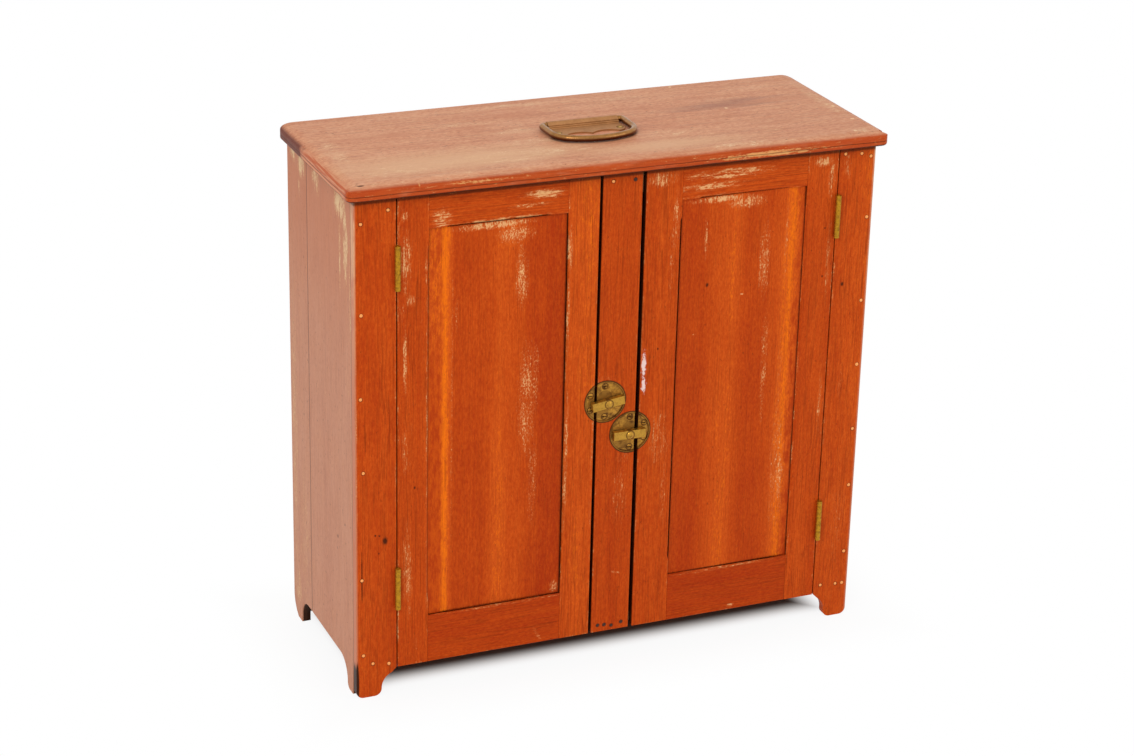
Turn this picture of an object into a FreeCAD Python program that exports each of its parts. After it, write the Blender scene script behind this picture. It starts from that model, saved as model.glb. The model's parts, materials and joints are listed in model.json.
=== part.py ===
"""Jelly cupboard: a small two-door pine cupboard with a lifting handle on its top.

The carcass is nailed up from thin boards. A moulded top board overhangs three sides,
each side is two boards edge to edge, and a left, a centre and a right stile are nailed
to the front. Two framed doors hang on butt hinges between the stiles, and each is held
shut by a brass turn bar that pivots on a round plate let into the centre stile.

Frame: X to the right, Y to the back, Z up. The origin is on the floor under the middle
of the top board, so the face of the doors is the plane y = face_plane.
"""
import FreeCAD, Part
import Sketcher
import math
import os
import re

from FreeCAD import Placement, Rotation, Vector

# Driving sizes in millimetres (degrees for angles): name, value, what it measures.
SIZES = (
    # Carcass
    ("carcass_width", 607.0, "over the two sides"),
    ("carcass_height", 580.5, "floor to the underside of the top board"),
    ("carcass_depth", 228.0, "face of the doors to the back edge of the sides"),
    ("side_thickness", 10.0, "side boards"),
    ("side_seam", 159.0, "face of the doors to the seam between a side's two boards"),
    ("front_thickness", 9.7, "stiles of the face frame"),
    ("left_stile_width", 46.5, "left stile"),
    ("centre_stile_width", 45.9, "centre stile"),
    ("right_stile_width", 43.7, "right stile"),
    ("header_width", 30.0, "rail behind the tops of the doors"),
    ("header_thickness", 10.0, "rail behind the tops of the doors"),
    ("bottom_height", 35.0, "floor to the underside of the bottom board"),
    ("bottom_thickness", 10.0, "bottom board"),
    ("shelf_thickness", 9.0, "shelves"),
    ("lower_shelf_height", 213.0, "floor to the underside of the lower shelf"),
    ("upper_shelf_drop", 188.5, "underside of the top board down to that of the upper shelf"),
    ("shelf_setback", 6.0, "back of the face frame to the front of a shelf"),
    ("cleat_width", 12.0, "cleats under the shelves, out from the side"),
    ("cleat_height", 14.0, "cleats under the shelves"),
    ("cleat_setback", 10.0, "front of a shelf to the front of its cleats"),
    ("back_thickness", 8.0, "back boards"),
    ("back_seam", 0.8, "shrinkage gap between two back boards"),
    # Feet
    ("front_rise", 31.8, "floor to the underside of the doors and centre stile"),
    ("foot_width", 29.2, "front foot across the stile"),
    ("foot_toe_radius", 8.2, "rounded bottom corners of the front foot"),
    ("foot_cove_radius", 19.0, "hollow on the inner side of the front foot"),
    ("foot_shoulder", 5.5, "bevel from the hollow to the stile's inner edge"),
    ("side_foot_depth", 31.0, "front foot along the side, from the face"),
    ("side_toe_radius", 7.5, "rounded bottom corner of the side's front foot"),
    ("side_cove_radius", 24.5, "hollows at both ends of the side's arch"),
    ("side_rise", 32.0, "floor to the top of the side's arch"),
    ("heel_depth", 30.0, "back foot along the side"),
    ("heel_flat", 14.0, "flat bottom of the back foot"),
    ("heel_height", 27.0, "floor to the top of the back foot's rounding"),
    ("heel_radius", 30.0, "rounding of the back foot"),
    ("split_width", 3.2, "gap at the floor between the side and the stile"),
    ("split_height", 47.0, "floor to the top of that gap"),
    ("back_foot_width", 38.0, "foot of an outer back board"),
    # Top board
    ("top_thickness", 16.0, "top board"),
    ("top_side_overhang", 10.0, "top board past the sides"),
    ("top_front_overhang", 13.0, "top board past the face of the doors"),
    ("top_back_overhang", 0.0, "top board past the back edge of the sides"),
    ("moulding_width", 17.0, "thumbnail moulding, in from the nose"),
    ("moulding_drop", 7.0, "thumbnail moulding, down from the top"),
    ("nose_radius", 4.0, "upper rounding of the nose"),
    ("nose_under_radius", 3.0, "lower rounding of the nose"),
    ("top_corner_radius", 9.0, "rounded corners of the top board, seen from above"),
    ("chip_start", 5.0, "front of the top board to the broken place in its right end"),
    ("chip_length", 14.0, "broken place along the end"),
    ("chip_reach", 8.5, "broken place, in from the end"),
    ("chip_depth", 6.0, "broken place, down from the top"),
    # Doors
    ("door_thickness", 9.3, "frames of the doors"),
    ("door_top_gap", 3.5, "door to the top board"),
    ("hinge_gap", 1.4, "door to stile on the hinge side"),
    ("left_door_width", 228.5, "left door"),
    ("left_lock_gap", 3.5, "left door to the centre stile"),
    ("right_lock_gap", 4.7, "right door to the centre stile"),
    ("left_hinge_stile", 35.2, "width of the left door's hinge stile"),
    ("left_lock_stile", 36.1, "width of the left door's lock stile"),
    ("right_hinge_stile", 37.4, "width of the right door's hinge stile"),
    ("right_lock_stile", 43.1, "width of the right door's lock stile"),
    ("door_top_rail", 37.4, "width of a door's top rail"),
    ("door_bottom_rail", 57.6, "width of a door's bottom rail"),
    ("panel_recess", 2.8, "face of the frame to the face of the panel"),
    ("panel_thickness", 4.2, "panel, groove and stub tenon"),
    ("groove_depth", 6.0, "groove in the frame's inner edges"),
    ("panel_play", 0.6, "panel edge to the bottom of its groove"),
    ("tenon_play", 0.2, "stub tenon to the bottom of the groove"),
    ("arris_bevel", 2.2, "stopped chamfer on the frame's inner edges"),
    ("bevel_stop", 18.0, "corner of the frame to the end of a chamfer"),
    ("bevel_runout", 6.0, "sloping end of a chamfer"),
    # Hinges
    ("hinge_height", 49.5, "butt hinge"),
    ("upper_hinge_drop", 51.1, "top of the doors down to an upper hinge"),
    ("lower_hinge_rise", 72.8, "bottom of the doors up to a lower hinge"),
    ("barrel_radius", 3.2, "outside of the hinge knuckles"),
    ("barrel_proud", 0.1, "knuckles to the face of the doors"),
    ("knuckle_gap", 0.2, "between two knuckles"),
    ("hinge_pin_radius", 1.3, "hinge pin"),
    ("hinge_pin_tip", 0.7, "hinge pin past the knuckles"),
    ("pin_fit", 0.06, "running clearance round a pin"),
    ("leaf_thickness", 1.1, "hinge leaf"),
    ("leaf_gap", 0.2, "between the closed leaves"),
    ("leaf_inset", 0.7, "end of a leaf to the back of the door"),
    # Latches
    ("latch_radius", 24.8, "round latch plate"),
    ("rim_proud", 0.3, "rim of the plate past the face of the doors"),
    ("rim_width", 1.6, "rim of the plate"),
    ("dish_depth", 1.3, "rim to the dished floor of the plate"),
    ("latch_let_in", 2.6, "depth of the plate in the wood"),
    ("latch_fit", 0.15, "wood round the latch plate"),
    ("left_latch_inset", 9.2, "edge of the centre stile to the left plate's centre"),
    ("left_latch_rise", 11.2, "middle of the doors up to the left plate's centre"),
    ("right_latch_inset", 5.6, "edge of the centre stile to the right plate's centre"),
    ("right_latch_drop", 29.4, "middle of the doors down to the right plate's centre"),
    ("pivot_offset", 2.2, "plate centre to the pivot, away from the door"),
    ("pivot_drop", 1.0, "plate centre down to the pivot"),
    ("pivot_radius", 2.0, "pivot of the turn bar"),
    ("pivot_head_radius", 4.3, "domed head of the pivot"),
    ("pivot_head_height", 1.8, "domed head of the pivot"),
    ("pivot_head_gap", 0.3, "turn bar to the head of the pivot"),
    ("pivot_tail", 4.0, "pivot in the wood behind the plate"),
    ("boss_radius", 5.5, "boss that carries the turn bar"),
    ("boss_height", 1.3, "boss above the dished floor"),
    ("bar_gap", 0.3, "boss to the turn bar"),
    ("bar_length", 38.5, "turn bar"),
    ("bar_width", 10.0, "turn bar"),
    ("bar_thickness", 6.2, "turn bar"),
    ("bar_bevel", 0.7, "worn edges of the turn bar"),
    ("left_bar_tilt", 8.2, "turn of the left bar from level, right end up"),
    ("latch_screw_spread", 18.0, "plate centre to its upper and lower screws"),
    ("strike_screw_reach", 17.3, "plate centre to the strike's screws, sideways"),
    ("strike_screw_spread", 8.6, "plate centre to the strike's screws, up and down"),
    ("screw_radius", 1.4, "shank of a latch or handle screw"),
    ("screw_head_radius", 3.3, "head of a latch or handle screw"),
    ("screw_sink", 1.4, "countersunk head of a latch or handle screw"),
    ("screw_length", 7.0, "latch or handle screw"),
    ("screw_head_rise", 0.7, "dome of a latch or handle screw's head"),
    ("slot_width", 1.1, "slot in a screw head"),
    ("slot_depth", 0.7, "slot in a screw head"),
    ("sink_play", 0.05, "metal round a countersunk head"),
    ("shank_play", 0.1, "wood or metal round a shank"),
    # Handle
    ("handle_offset", -1.3, "centre of the cupboard to the centre of the handle"),
    ("handle_setback", 115.4, "face of the doors to the handle's pivot"),
    ("handle_plate_width", 83.0, "plate and barrel"),
    ("handle_plate_depth", 32.0, "pivot to the front of the plate's lobes"),
    ("handle_plate_thickness", 1.8, "plate"),
    ("lobe_radius", 9.5, "rounded front corners of the plate"),
    ("bow_radius", 23.0, "hollows in the plate's front edge"),
    ("handle_barrel_radius", 4.2, "barrel along the back of the plate"),
    ("slope_lean", 50.0, "slope from the barrel down to the plate, from level"),
    ("reed_radius", 0.9, "reeds along the slope"),
    ("reed_pitch", 2.2, "between two reeds"),
    ("bail_radius", 3.6, "rod of the bail"),
    ("bail_width", 95.5, "between the centres of the bail's sides"),
    ("bail_depth", 59.5, "pivot to the centre of the bail's front"),
    ("bail_corner_radius", 26.0, "front corners of the bail"),
    ("bail_corner_turn", 65.0, "turn of a front corner"),
    ("bail_bend_radius", 4.2, "bend from a side into its pivot"),
    ("bail_end_gap", 0.4, "barrel to the bail"),
    ("bail_pivot_radius", 2.1, "pivots of the bail"),
    ("bail_pivot_length", 8.0, "pivots of the bail in the barrel"),
    ("handle_screw_edge", 5.2, "handle screws from the ends of the plate"),
    ("handle_screw_depth", 22.0, "pivot to the handle's screws"),
)

# Places and fits that follow from the sizes: name, formula, what it is.
PLACES = (
    ("left_outside", "-carcass_width / 2", "outside of the left side"),
    ("right_outside", "carcass_width / 2", "outside of the right side"),
    ("top_depth", "carcass_depth + top_front_overhang + top_back_overhang", "top board"),
    ("top_length", "carcass_width + 2 * top_side_overhang", "top board"),
    ("face_plane", "top_front_overhang - top_depth / 2", "face of the doors"),
    ("board_top", "carcass_height + top_thickness", "upper side of the top board"),
    ("behind_front", "face_plane + front_thickness", "back of the face frame"),
    ("inner_width", "carcass_width - 2 * side_thickness", "between the sides"),
    ("back_front", "face_plane + carcass_depth - back_thickness", "inside of the back"),
    ("inner_depth", "back_front - behind_front", "face frame to the back boards"),
    ("shelf_depth", "inner_depth - shelf_setback", "shelves"),
    ("back_board_width", "(inner_width - 3 * back_seam) / 4", "one back board"),
    ("bottom_top", "bottom_height + bottom_thickness", "upper side of the bottom board"),
    ("upper_shelf_height", "carcass_height - upper_shelf_drop", "underside of the upper shelf"),
    ("moulding_radius",
     "((moulding_width - nose_radius)^2 + moulding_drop^2 - nose_radius^2)"
     " / (2 * (moulding_drop - nose_radius))", "upper arc of the moulding"),
    ("nose_turn_in",
     "nose_radius - nose_radius * (moulding_width - nose_radius)"
     " / (moulding_radius - nose_radius)", "nose to where the moulding's arcs meet"),
    ("nose_turn_drop",
     "moulding_drop - nose_radius * (moulding_radius - moulding_drop)"
     " / (moulding_radius - nose_radius)", "top to where the moulding's arcs meet"),
    # Doors
    ("door_height", "carcass_height - door_top_gap - front_rise", "both doors"),
    ("left_door_edge", "left_outside + left_stile_width + hinge_gap", "hinge edge"),
    ("right_door_edge", "right_outside - right_stile_width - hinge_gap", "hinge edge"),
    ("left_lock_edge", "left_door_edge + left_door_width", "lock edge of the left door"),
    ("centre_left", "left_lock_edge + left_lock_gap", "left edge of the centre stile"),
    ("centre_right", "centre_left + centre_stile_width", "its right edge"),
    ("right_lock_edge", "centre_right + right_lock_gap", "lock edge of the right door"),
    ("right_door_width", "right_door_edge - right_lock_edge", "right door"),
    ("door_opening_height", "door_height - door_top_rail - door_bottom_rail", "panel seen"),
    ("panel_height", "door_opening_height + 2 * (groove_depth - panel_play)", "panel"),
    ("groove_back", "panel_recess + panel_thickness", "face to the back of the groove"),
    ("door_middle", "front_rise + door_height / 2", "floor to the middle of the doors"),
    # Hinges
    ("upper_hinge_height", "front_rise + door_height - upper_hinge_drop - hinge_height",
     "floor to the bottom of an upper hinge"),
    ("lower_hinge_height", "front_rise + lower_hinge_rise",
     "floor to the bottom of a lower hinge"),
    ("pin_setout", "barrel_radius + barrel_proud", "hinge axis in front of the face"),
    ("left_hinge_x", "left_outside + left_stile_width + hinge_gap / 2", "hinge axis"),
    ("right_hinge_x", "right_outside - right_stile_width - hinge_gap / 2", "hinge axis"),
    ("hinge_y", "face_plane - pin_setout", "hinge axes"),
    ("leaf_outer", "leaf_gap / 2 + leaf_thickness", "hinge axis to a leaf's outer side"),
    ("mortise_depth", "leaf_outer - hinge_gap / 2", "leaf let into the edge"),
    ("mortise_width", "door_thickness - leaf_inset", "face to the end of a leaf"),
    ("leaf_reach", "pin_setout + mortise_width", "hinge axis to the end of a leaf"),
    ("leaf_start", "barrel_radius + knuckle_gap", "hinge axis to the leaf's plate"),
    ("knuckle_pitch", "hinge_height / 5", "one knuckle"),
    ("knuckle_length", "knuckle_pitch - knuckle_gap", "one knuckle"),
    # Latches
    ("left_latch_height", "door_middle + left_latch_rise", "left plate's centre"),
    ("right_latch_height", "door_middle - right_latch_drop", "right plate's centre"),
    ("left_latch_x", "centre_left + left_latch_inset", "left plate's centre"),
    ("right_latch_x", "centre_right - right_latch_inset", "right plate's centre"),
    ("dish_floor", "dish_depth - rim_proud", "face of the doors back to the dish"),
    ("boss_face", "dish_floor - boss_height", "face of the doors back to the boss"),
    ("bar_back", "boss_face - bar_gap", "face of the doors back to the turn bar"),
    ("bar_front", "bar_back - bar_thickness", "face of the doors back to its front"),
    ("pivot_head_back", "bar_front - pivot_head_gap", "face back to the pivot's head"),
    ("pivot_dome_radius", "(pivot_head_radius^2 + pivot_head_height^2)"
     " / (2 * pivot_head_height)", "domed head of the pivot"),
    ("left_pivot_x", "left_latch_x + pivot_offset", "pivot of the left turn bar"),
    ("right_pivot_x", "right_latch_x - pivot_offset", "pivot of the right turn bar"),
    ("screw_taper", "atan((screw_head_radius - screw_radius) / screw_sink)",
     "side of a latch or handle screw's head"),
    # Handle
    ("screw_dome_radius", "(screw_head_radius^2 + screw_head_rise^2)"
     " / (2 * screw_head_rise)", "dome of a screw's head"),
    ("slope_top_reach", "handle_barrel_radius * sin(slope_lean)", "slope off the barrel"),
    ("slope_top_rise", "handle_barrel_radius * (1 + cos(slope_lean))",
     "slope off the barrel"),
    ("slope_foot_reach", "slope_top_reach + (slope_top_rise - handle_plate_thickness)"
     " / tan(slope_lean)", "slope down to the plate"),
    ("handle_y", "face_plane + handle_setback", "pivot of the handle"),
    ("handle_screw_reach", "handle_plate_width / 2 - handle_screw_edge", "handle screws"),
    ("handle_z", "board_top + handle_barrel_radius", "pivot of the handle"),
    ("handle_x", "handle_offset", "middle of the handle"),
    ("bail_bow_turn", "90 - bail_corner_turn", "half the front bow's turn"),
    ("bail_bow_end", "bail_width / 2 - bail_corner_radius * (1 - cos(bail_corner_turn))",
     "middle of the bail to the end of its front bow"),
    ("bail_bow_radius", "bail_bow_end / sin(bail_bow_turn)", "front bow"),
    ("bail_bow_sag", "bail_bow_radius * (1 - cos(bail_bow_turn))", "front bow"),
    ("bail_bow_start", "bail_depth - bail_bow_sag", "pivot to the ends of the front bow"),
    ("bail_side_end", "bail_bow_start - bail_corner_radius * sin(bail_corner_turn)",
     "pivot to the start of a front corner"),
)

SIZE_NAMES = {name for name, _, _ in SIZES}
PLACE_NAMES = {name for name, _, _ in PLACES}
X_AXIS = Vector(1, 0, 0)
Y_AXIS = Vector(0, 1, 0)
Z_AXIS = Vector(0, 0, 1)
SPARE = "1"  # how far a cutting outline runs past the wood it cuts, in millimetres

doc = FreeCAD.newDocument("JellyCupboard")
nodes = []
cuts = []


# ---------------------------------------------------------------- sheet and formulas

def make_sheet(name, rows):
    """A spreadsheet with one row per value: its name, its content and what it is."""
    sheet = doc.addObject("Spreadsheet::Sheet", name)
    for row, (alias, content, note) in enumerate(rows, start=1):
        sheet.set(f"A{row}", alias)
        sheet.set(f"B{row}", content)
        sheet.setAlias(f"B{row}", alias)
        sheet.set(f"C{row}", note)
    return sheet


def linked(formula, places="Places."):
    """The formula with each size or place name pointing at its cell."""
    def cell(match):
        word = match.group(0)
        if word in SIZE_NAMES:
            return "Sizes." + word
        if word in PLACE_NAMES:
            return places + word
        return word
    return re.sub(r"[a-z][a-z0-9_]*", cell, formula)


def value(formula):
    """What the formula comes to with the sizes as they are."""
    return float(sizes.evalExpression(linked(formula)))


def bind(thing, path, formula):
    """Lets a property of the object follow the formula."""
    thing.setExpression(path, linked(formula))


def place(thing, x="0", y="0", z="0", turn=None):
    """Puts the object at x, y, z; turn is an axis and the formula of an angle."""
    if turn is not None:
        axis, angle = turn
        thing.Placement = Placement(Vector(), Rotation(axis, value(angle)))
        bind(thing, ".Placement.Rotation.Angle", angle)
    for letter, formula in zip("xyz", (x, y, z)):
        bind(thing, f".Placement.Base.{letter}", formula)


# ------------------------------------------------------------------------- sketches

def new_body(label, spot=None, turn=None):
    """An empty body; with a spot it becomes a node, without one it is only a pattern."""
    body = doc.addObject("PartDesign::Body", label)
    if spot is not None:
        place(body, *spot, turn=turn)
        nodes.append(body)
    return body


def sketch_on(body, plane, offset="0"):
    """A sketch on one of the body's origin planes, moved along the plane's normal."""
    sketch = body.newObject("Sketcher::SketchObject", body.Name + "_sketch")
    support = [part for part in body.Origin.OriginFeatures if part.Role == plane]
    sketch.AttachmentSupport = [(support[0], "")]
    sketch.MapMode = "FlatFace"
    if offset != "0":
        bind(sketch, ".AttachmentOffset.Base.z", offset)
    return sketch


def arc_between(start, end, radius, turn):
    """The short arc from start to end that turns left or right on its way."""
    chord = end - start
    left = Vector(-chord.y, chord.x, 0).normalize()
    rise = math.sqrt(max(radius ** 2 - (chord.Length / 2) ** 2, 0.0))
    side = 1 if turn == "left" else -1
    centre = (start + end) / 2 + left * (side * rise)
    first, last = (start, end) if turn == "left" else (end, start)
    angles = [math.atan2(point.y - centre.y, point.x - centre.x) for point in (first, last)]
    return Part.ArcOfCircle(Part.Circle(centre, Z_AXIS, radius), *angles)


def locate(sketch, index, end, x, y, sign=1):
    """Ties one end of a drawn edge to x, y measured from the sketch's origin."""
    for formula, kind, axis in ((x, "DistanceX", -2), (y, "DistanceY", -1)):
        if formula == "0":
            sketch.addConstraint(Sketcher.Constraint("PointOnObject", index, end, axis))
            continue
        signed = f"-({formula})" if kind == "DistanceX" and sign < 0 else formula
        constraint = Sketcher.Constraint(kind, -1, 1, index, end, value(signed))
        bind(sketch, f"Constraints[{sketch.addConstraint(constraint)}]", signed)


def fix_radius(sketch, index, radius):
    """Ties the radius of a drawn arc or circle to its formula."""
    number = sketch.addConstraint(Sketcher.Constraint("Radius", index, value(radius)))
    bind(sketch, f"Constraints[{number}]", radius)


def outline(sketch, corners, curves=None, sign=1, closed=True):
    """An outline through the corners, each an x and a y formula.

    curves gives, for the corner that an edge starts from, the arc's radius and the way
    it turns. A sign of -1 draws the outline mirrored left to right.
    """
    curves = curves or {}
    first = sketch.GeometryCount
    points = [Vector(sign * value(x), value(y), 0) for x, y in corners]
    edges = len(points) if closed else len(points) - 1
    ends = []
    for number in range(edges):
        start = points[number]
        end = points[(number + 1) % len(points)]
        if number not in curves:
            sketch.addGeometry(Part.LineSegment(start, end), False)
            ends.append((1, 2))
            continue
        radius, turn = curves[number]
        turns_left = (turn == "left") == (sign > 0)
        arc = arc_between(start, end, value(radius), "left" if turns_left else "right")
        sketch.addGeometry(arc, False)
        ends.append((1, 2) if turns_left else (2, 1))
    for number in range(edges):
        following = (number + 1) % len(points)
        locate(sketch, first + number, ends[number][0], *corners[number], sign)
        if following < edges:
            sketch.addConstraint(Sketcher.Constraint(
                "Coincident", first + number, ends[number][1],
                first + following, ends[following][0]))
        else:
            locate(sketch, first + number, ends[number][1], *corners[following], sign)
    for number, (radius, _) in curves.items():
        fix_radius(sketch, first + number, radius)
    return sketch


def rectangle(sketch, left, right, low, high, sign=1):
    """A rectangle between two x and two y formulas."""
    return outline(sketch, ((left, low), (right, low), (right, high), (left, high)),
                   sign=sign)


def circles(sketch, spots, radius, sign=1):
    """Circles of one radius at each x, y."""
    for x, y in spots:
        centre = Vector(sign * value(x), value(y), 0)
        index = sketch.addGeometry(Part.Circle(centre, Z_AXIS, value(radius)), False)
        locate(sketch, index, 3, x, y, sign)
        fix_radius(sketch, index, radius)
    return sketch


# ------------------------------------------------------------------------- features

def pad(body, sketch, length, backward=False):
    """Gives the sketch a thickness, along its normal or backward."""
    feature = body.newObject("PartDesign::Pad", body.Name + "_pad")
    feature.Profile = sketch
    bind(feature, "Length", length)
    feature.Reversed = backward
    sketch.Visibility = False
    return feature


def pocket(body, sketch, depth=None, forward=False, taper=None):
    """Cuts the sketch out, against its normal or forward along it; no depth: right through."""
    feature = body.newObject("PartDesign::Pocket", body.Name + "_pocket")
    feature.Profile = sketch
    if depth is None:
        feature.Type = "ThroughAll"
    else:
        bind(feature, "Length", depth)
    if taper is not None:
        bind(feature, "TaperAngle", taper)
    feature.Reversed = forward
    sketch.Visibility = False
    cuts.append(feature)
    return feature


def revolve(body, sketch):
    """Turns the sketch right round its own vertical axis."""
    feature = body.newObject("PartDesign::Revolution", body.Name + "_revolution")
    feature.Profile = sketch
    feature.ReferenceAxis = (sketch, ["V_Axis"])
    feature.Angle = 360
    sketch.Visibility = False
    return feature


def repeat(body, features, sketch, axis, length, copies):
    """A row of copies of the features, evenly spread over the length."""
    feature = body.newObject("PartDesign::LinearPattern", body.Name + "_row")
    feature.Originals = features
    feature.Direction = (sketch, [axis])
    bind(feature, "Length", length)
    feature.Occurrences = copies
    body.Tip = feature
    return feature


def stopped_bevel(body, along, outward, base, length):
    """A chamfer that stops short of both ends: a ridged wedge taken off the arris."""
    wedge = body.newObject("PartDesign::SubtractiveWedge", body.Name + "_bevel")
    across = along.cross(outward)
    wedge.Placement = Placement(Vector(), Rotation(along, outward, across, "XYZ"))
    leg = "arris_bevel / sqrt(2)"
    extents = {
        "Xmin": "bevel_stop + bevel_runout", "Xmax": f"{length} - bevel_stop - bevel_runout",
        "X2min": "bevel_stop", "X2max": f"{length} - bevel_stop",
        "Ymin": "0", "Ymax": leg, "Zmin": f"-{leg}", "Zmax": leg,
        "Z2min": "0", "Z2max": "0",
    }
    for name, formula in extents.items():
        bind(wedge, name, formula)
    for letter, formula in zip("xyz", base):
        bind(wedge, f".Placement.Base.{letter}", formula)
    cuts.append(wedge)
    return wedge


def round_edges(body, chosen, radius):
    """Rounds the edges of the body's tip that the test picks out."""
    doc.recompute()
    tip = body.Tip
    names = [f"Edge{number}" for number, edge in enumerate(tip.Shape.Edges, start=1)
             if chosen(edge)]
    feature = body.newObject("PartDesign::Fillet", body.Name + "_rounding")
    feature.Base = (tip, names)
    bind(feature, "Radius", radius)
    return feature


def bevel_edges(body, chosen, size):
    """Bevels the edges of the body's tip that the test picks out."""
    doc.recompute()
    tip = body.Tip
    names = [f"Edge{number}" for number, edge in enumerate(tip.Shape.Edges, start=1)
             if chosen(edge)]
    feature = body.newObject("PartDesign::Chamfer", body.Name + "_edge_bevel")
    feature.Base = (tip, names)
    bind(feature, "Size", size)
    return feature


def plain_board(label, width, depth, height, spot):
    """A board with square edges."""
    board = doc.addObject("Part::Box", label)
    for name, formula in (("Length", width), ("Width", depth), ("Height", height)):
        bind(board, name, formula)
    place(board, *spot)
    return board


def copies(label, pattern, spots):
    """One node of separate solids: the pattern at each x, y, z and turn."""
    links = []
    for number, (x, y, z, turn) in enumerate(spots, start=1):
        link = doc.addObject("App::Link", f"{label}_{number}")
        link.LinkedObject = pattern
        place(link, x, y, z, turn)
        links.append(link)
    group = doc.addObject("Part::Compound", label)
    group.Links = links
    nodes.append(group)
    return group


# ------------------------------------------------------------- carcass: top and sides

def make_top_board():
    """The top board: moulded on the front and both ends, with a broken right corner."""
    spot = ("left_outside - top_side_overhang", "face_plane - top_front_overhang",
            "carcass_height")
    body = new_body("top_board", spot)
    plan = rectangle(sketch_on(body, "XY_Plane"), "0", "top_length", "0", "top_depth")
    pad(body, plan, "top_thickness")
    middle_height = value("top_thickness / 2")
    round_edges(body, lambda edge: abs(edge.CenterOfMass.z - middle_height) < 0.01,
                "top_corner_radius")
    round_edges(body, lambda edge: abs(edge.CenterOfMass.z) < 0.01, "nose_under_radius")
    profile = (
        (f"-{SPARE}", "top_thickness - moulding_drop"),
        ("0", "top_thickness - moulding_drop"),
        ("nose_turn_in", "top_thickness - nose_turn_drop"),
        ("moulding_width", "top_thickness"),
        ("moulding_width", f"top_thickness + {SPARE}"),
        (f"-{SPARE}", f"top_thickness + {SPARE}"),
    )
    arcs = {1: ("nose_radius", "right"), 2: ("moulding_radius", "right")}
    far_end = [(f"top_length - ({inward})", height) for inward, height in profile]
    far_arcs = {number: (radius, "left") for number, (radius, _) in arcs.items()}
    pocket(body, outline(sketch_on(body, "YZ_Plane"), profile, arcs), forward=True)
    pocket(body, outline(sketch_on(body, "XZ_Plane"), profile, arcs))
    pocket(body, outline(sketch_on(body, "XZ_Plane"), far_end, far_arcs))
    chip = [(f"top_length - chip_reach * {inward}", f"chip_start + chip_length * {along}")
            for inward, along in ((0.55, 0.1), (1.0, 0.45), (0.7, 0.8))]
    chip += [(f"top_length + {SPARE}", "chip_start + chip_length"),
             (f"top_length + {SPARE}", "chip_start")]
    pocket(body, outline(sketch_on(body, "XY_Plane", "top_thickness"), chip), "chip_depth")
    middle = "top_length / 2 + handle_offset"
    depth = "top_front_overhang + handle_setback - handle_screw_depth"
    screws = [(f"{middle} {way} handle_screw_reach", depth) for way in "-+"]
    pilots = circles(sketch_on(body, "XY_Plane", "top_thickness"), screws,
                     "screw_radius + shank_play")
    pocket(body, pilots, "screw_length - handle_plate_thickness")


def make_side(side):
    """One side: a front and a back board edge to edge, with an arch between the feet."""
    x = "left_outside" if side == "left" else "right_outside - side_thickness"
    front = new_body(f"{side}_side_front_board", (x, "face_plane"))
    corners = (
        ("front_thickness + split_width", "0"),
        ("side_foot_depth - side_toe_radius", "0"),
        ("side_foot_depth", "side_toe_radius"),
        ("side_foot_depth + side_cove_radius", "side_rise"),
        ("side_seam", "side_rise"),
        ("side_seam", "carcass_height"),
        ("front_thickness", "carcass_height"),
        ("front_thickness", "split_height"),
    )
    arcs = {1: ("side_toe_radius", "left"), 2: ("side_cove_radius", "right")}
    pad(front, outline(sketch_on(front, "YZ_Plane"), corners, arcs), "side_thickness")

    back = new_body(f"{side}_side_back_board", (x, "face_plane"))
    corners = (
        ("side_seam", "side_rise"),
        ("carcass_depth - heel_depth - side_cove_radius", "side_rise"),
        ("carcass_depth - heel_depth", "side_toe_radius"),
        ("carcass_depth - heel_depth", "0"),
        ("carcass_depth - heel_depth + heel_flat", "0"),
        ("carcass_depth", "heel_height"),
        ("carcass_depth", "carcass_height"),
        ("side_seam", "carcass_height"),
    )
    arcs = {1: ("side_cove_radius", "right"), 4: ("heel_radius", "left")}
    pad(back, outline(sketch_on(back, "YZ_Plane"), corners, arcs), "side_thickness")


# --------------------------------------------------------- carcass: face frame and back

def make_outer_stile(side):
    """A stile of the face frame that ends in a front foot and carries two hinges."""
    sign = 1 if side == "left" else -1
    width = f"{side}_stile_width"
    body = new_body(f"{side}_stile", (f"{side}_outside", "face_plane"))
    corners = (
        ("foot_toe_radius", "0"),
        ("foot_width - foot_toe_radius", "0"),
        ("foot_width", "foot_toe_radius"),
        (f"{width} - foot_shoulder", "front_rise - foot_shoulder"),
        (width, "front_rise"),
        (width, "carcass_height"),
        ("0", "carcass_height"),
        ("0", "foot_toe_radius"),
    )
    arcs = {1: ("foot_toe_radius", "left"), 2: ("foot_cove_radius", "right"),
            7: ("foot_toe_radius", "left")}
    face = outline(sketch_on(body, "XZ_Plane"), corners, arcs, sign)
    pad(body, face, "front_thickness", backward=True)
    cut_hinge_seats(body, width, sign, "0")


def cut_hinge_seats(body, edge, sign, base):
    """Shallow seats for two hinge leaves in a vertical edge.

    The edge is at x = edge from the body's own outer corner, and base is the height of
    the body's origin above the floor.
    """
    bottoms = [f"{height} - {base}" for height in ("lower_hinge_height", "upper_hinge_height")]
    seats = sketch_on(body, "XZ_Plane")
    floor_x = f"{edge} - mortise_depth" if edge != "0" else "mortise_depth"
    outside = f"{edge} + {SPARE}" if edge != "0" else f"-{SPARE}"
    for bottom in bottoms:
        rectangle(seats, floor_x, outside, bottom, f"{bottom} + hinge_height", sign)
    pocket(body, seats, "mortise_width")


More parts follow.
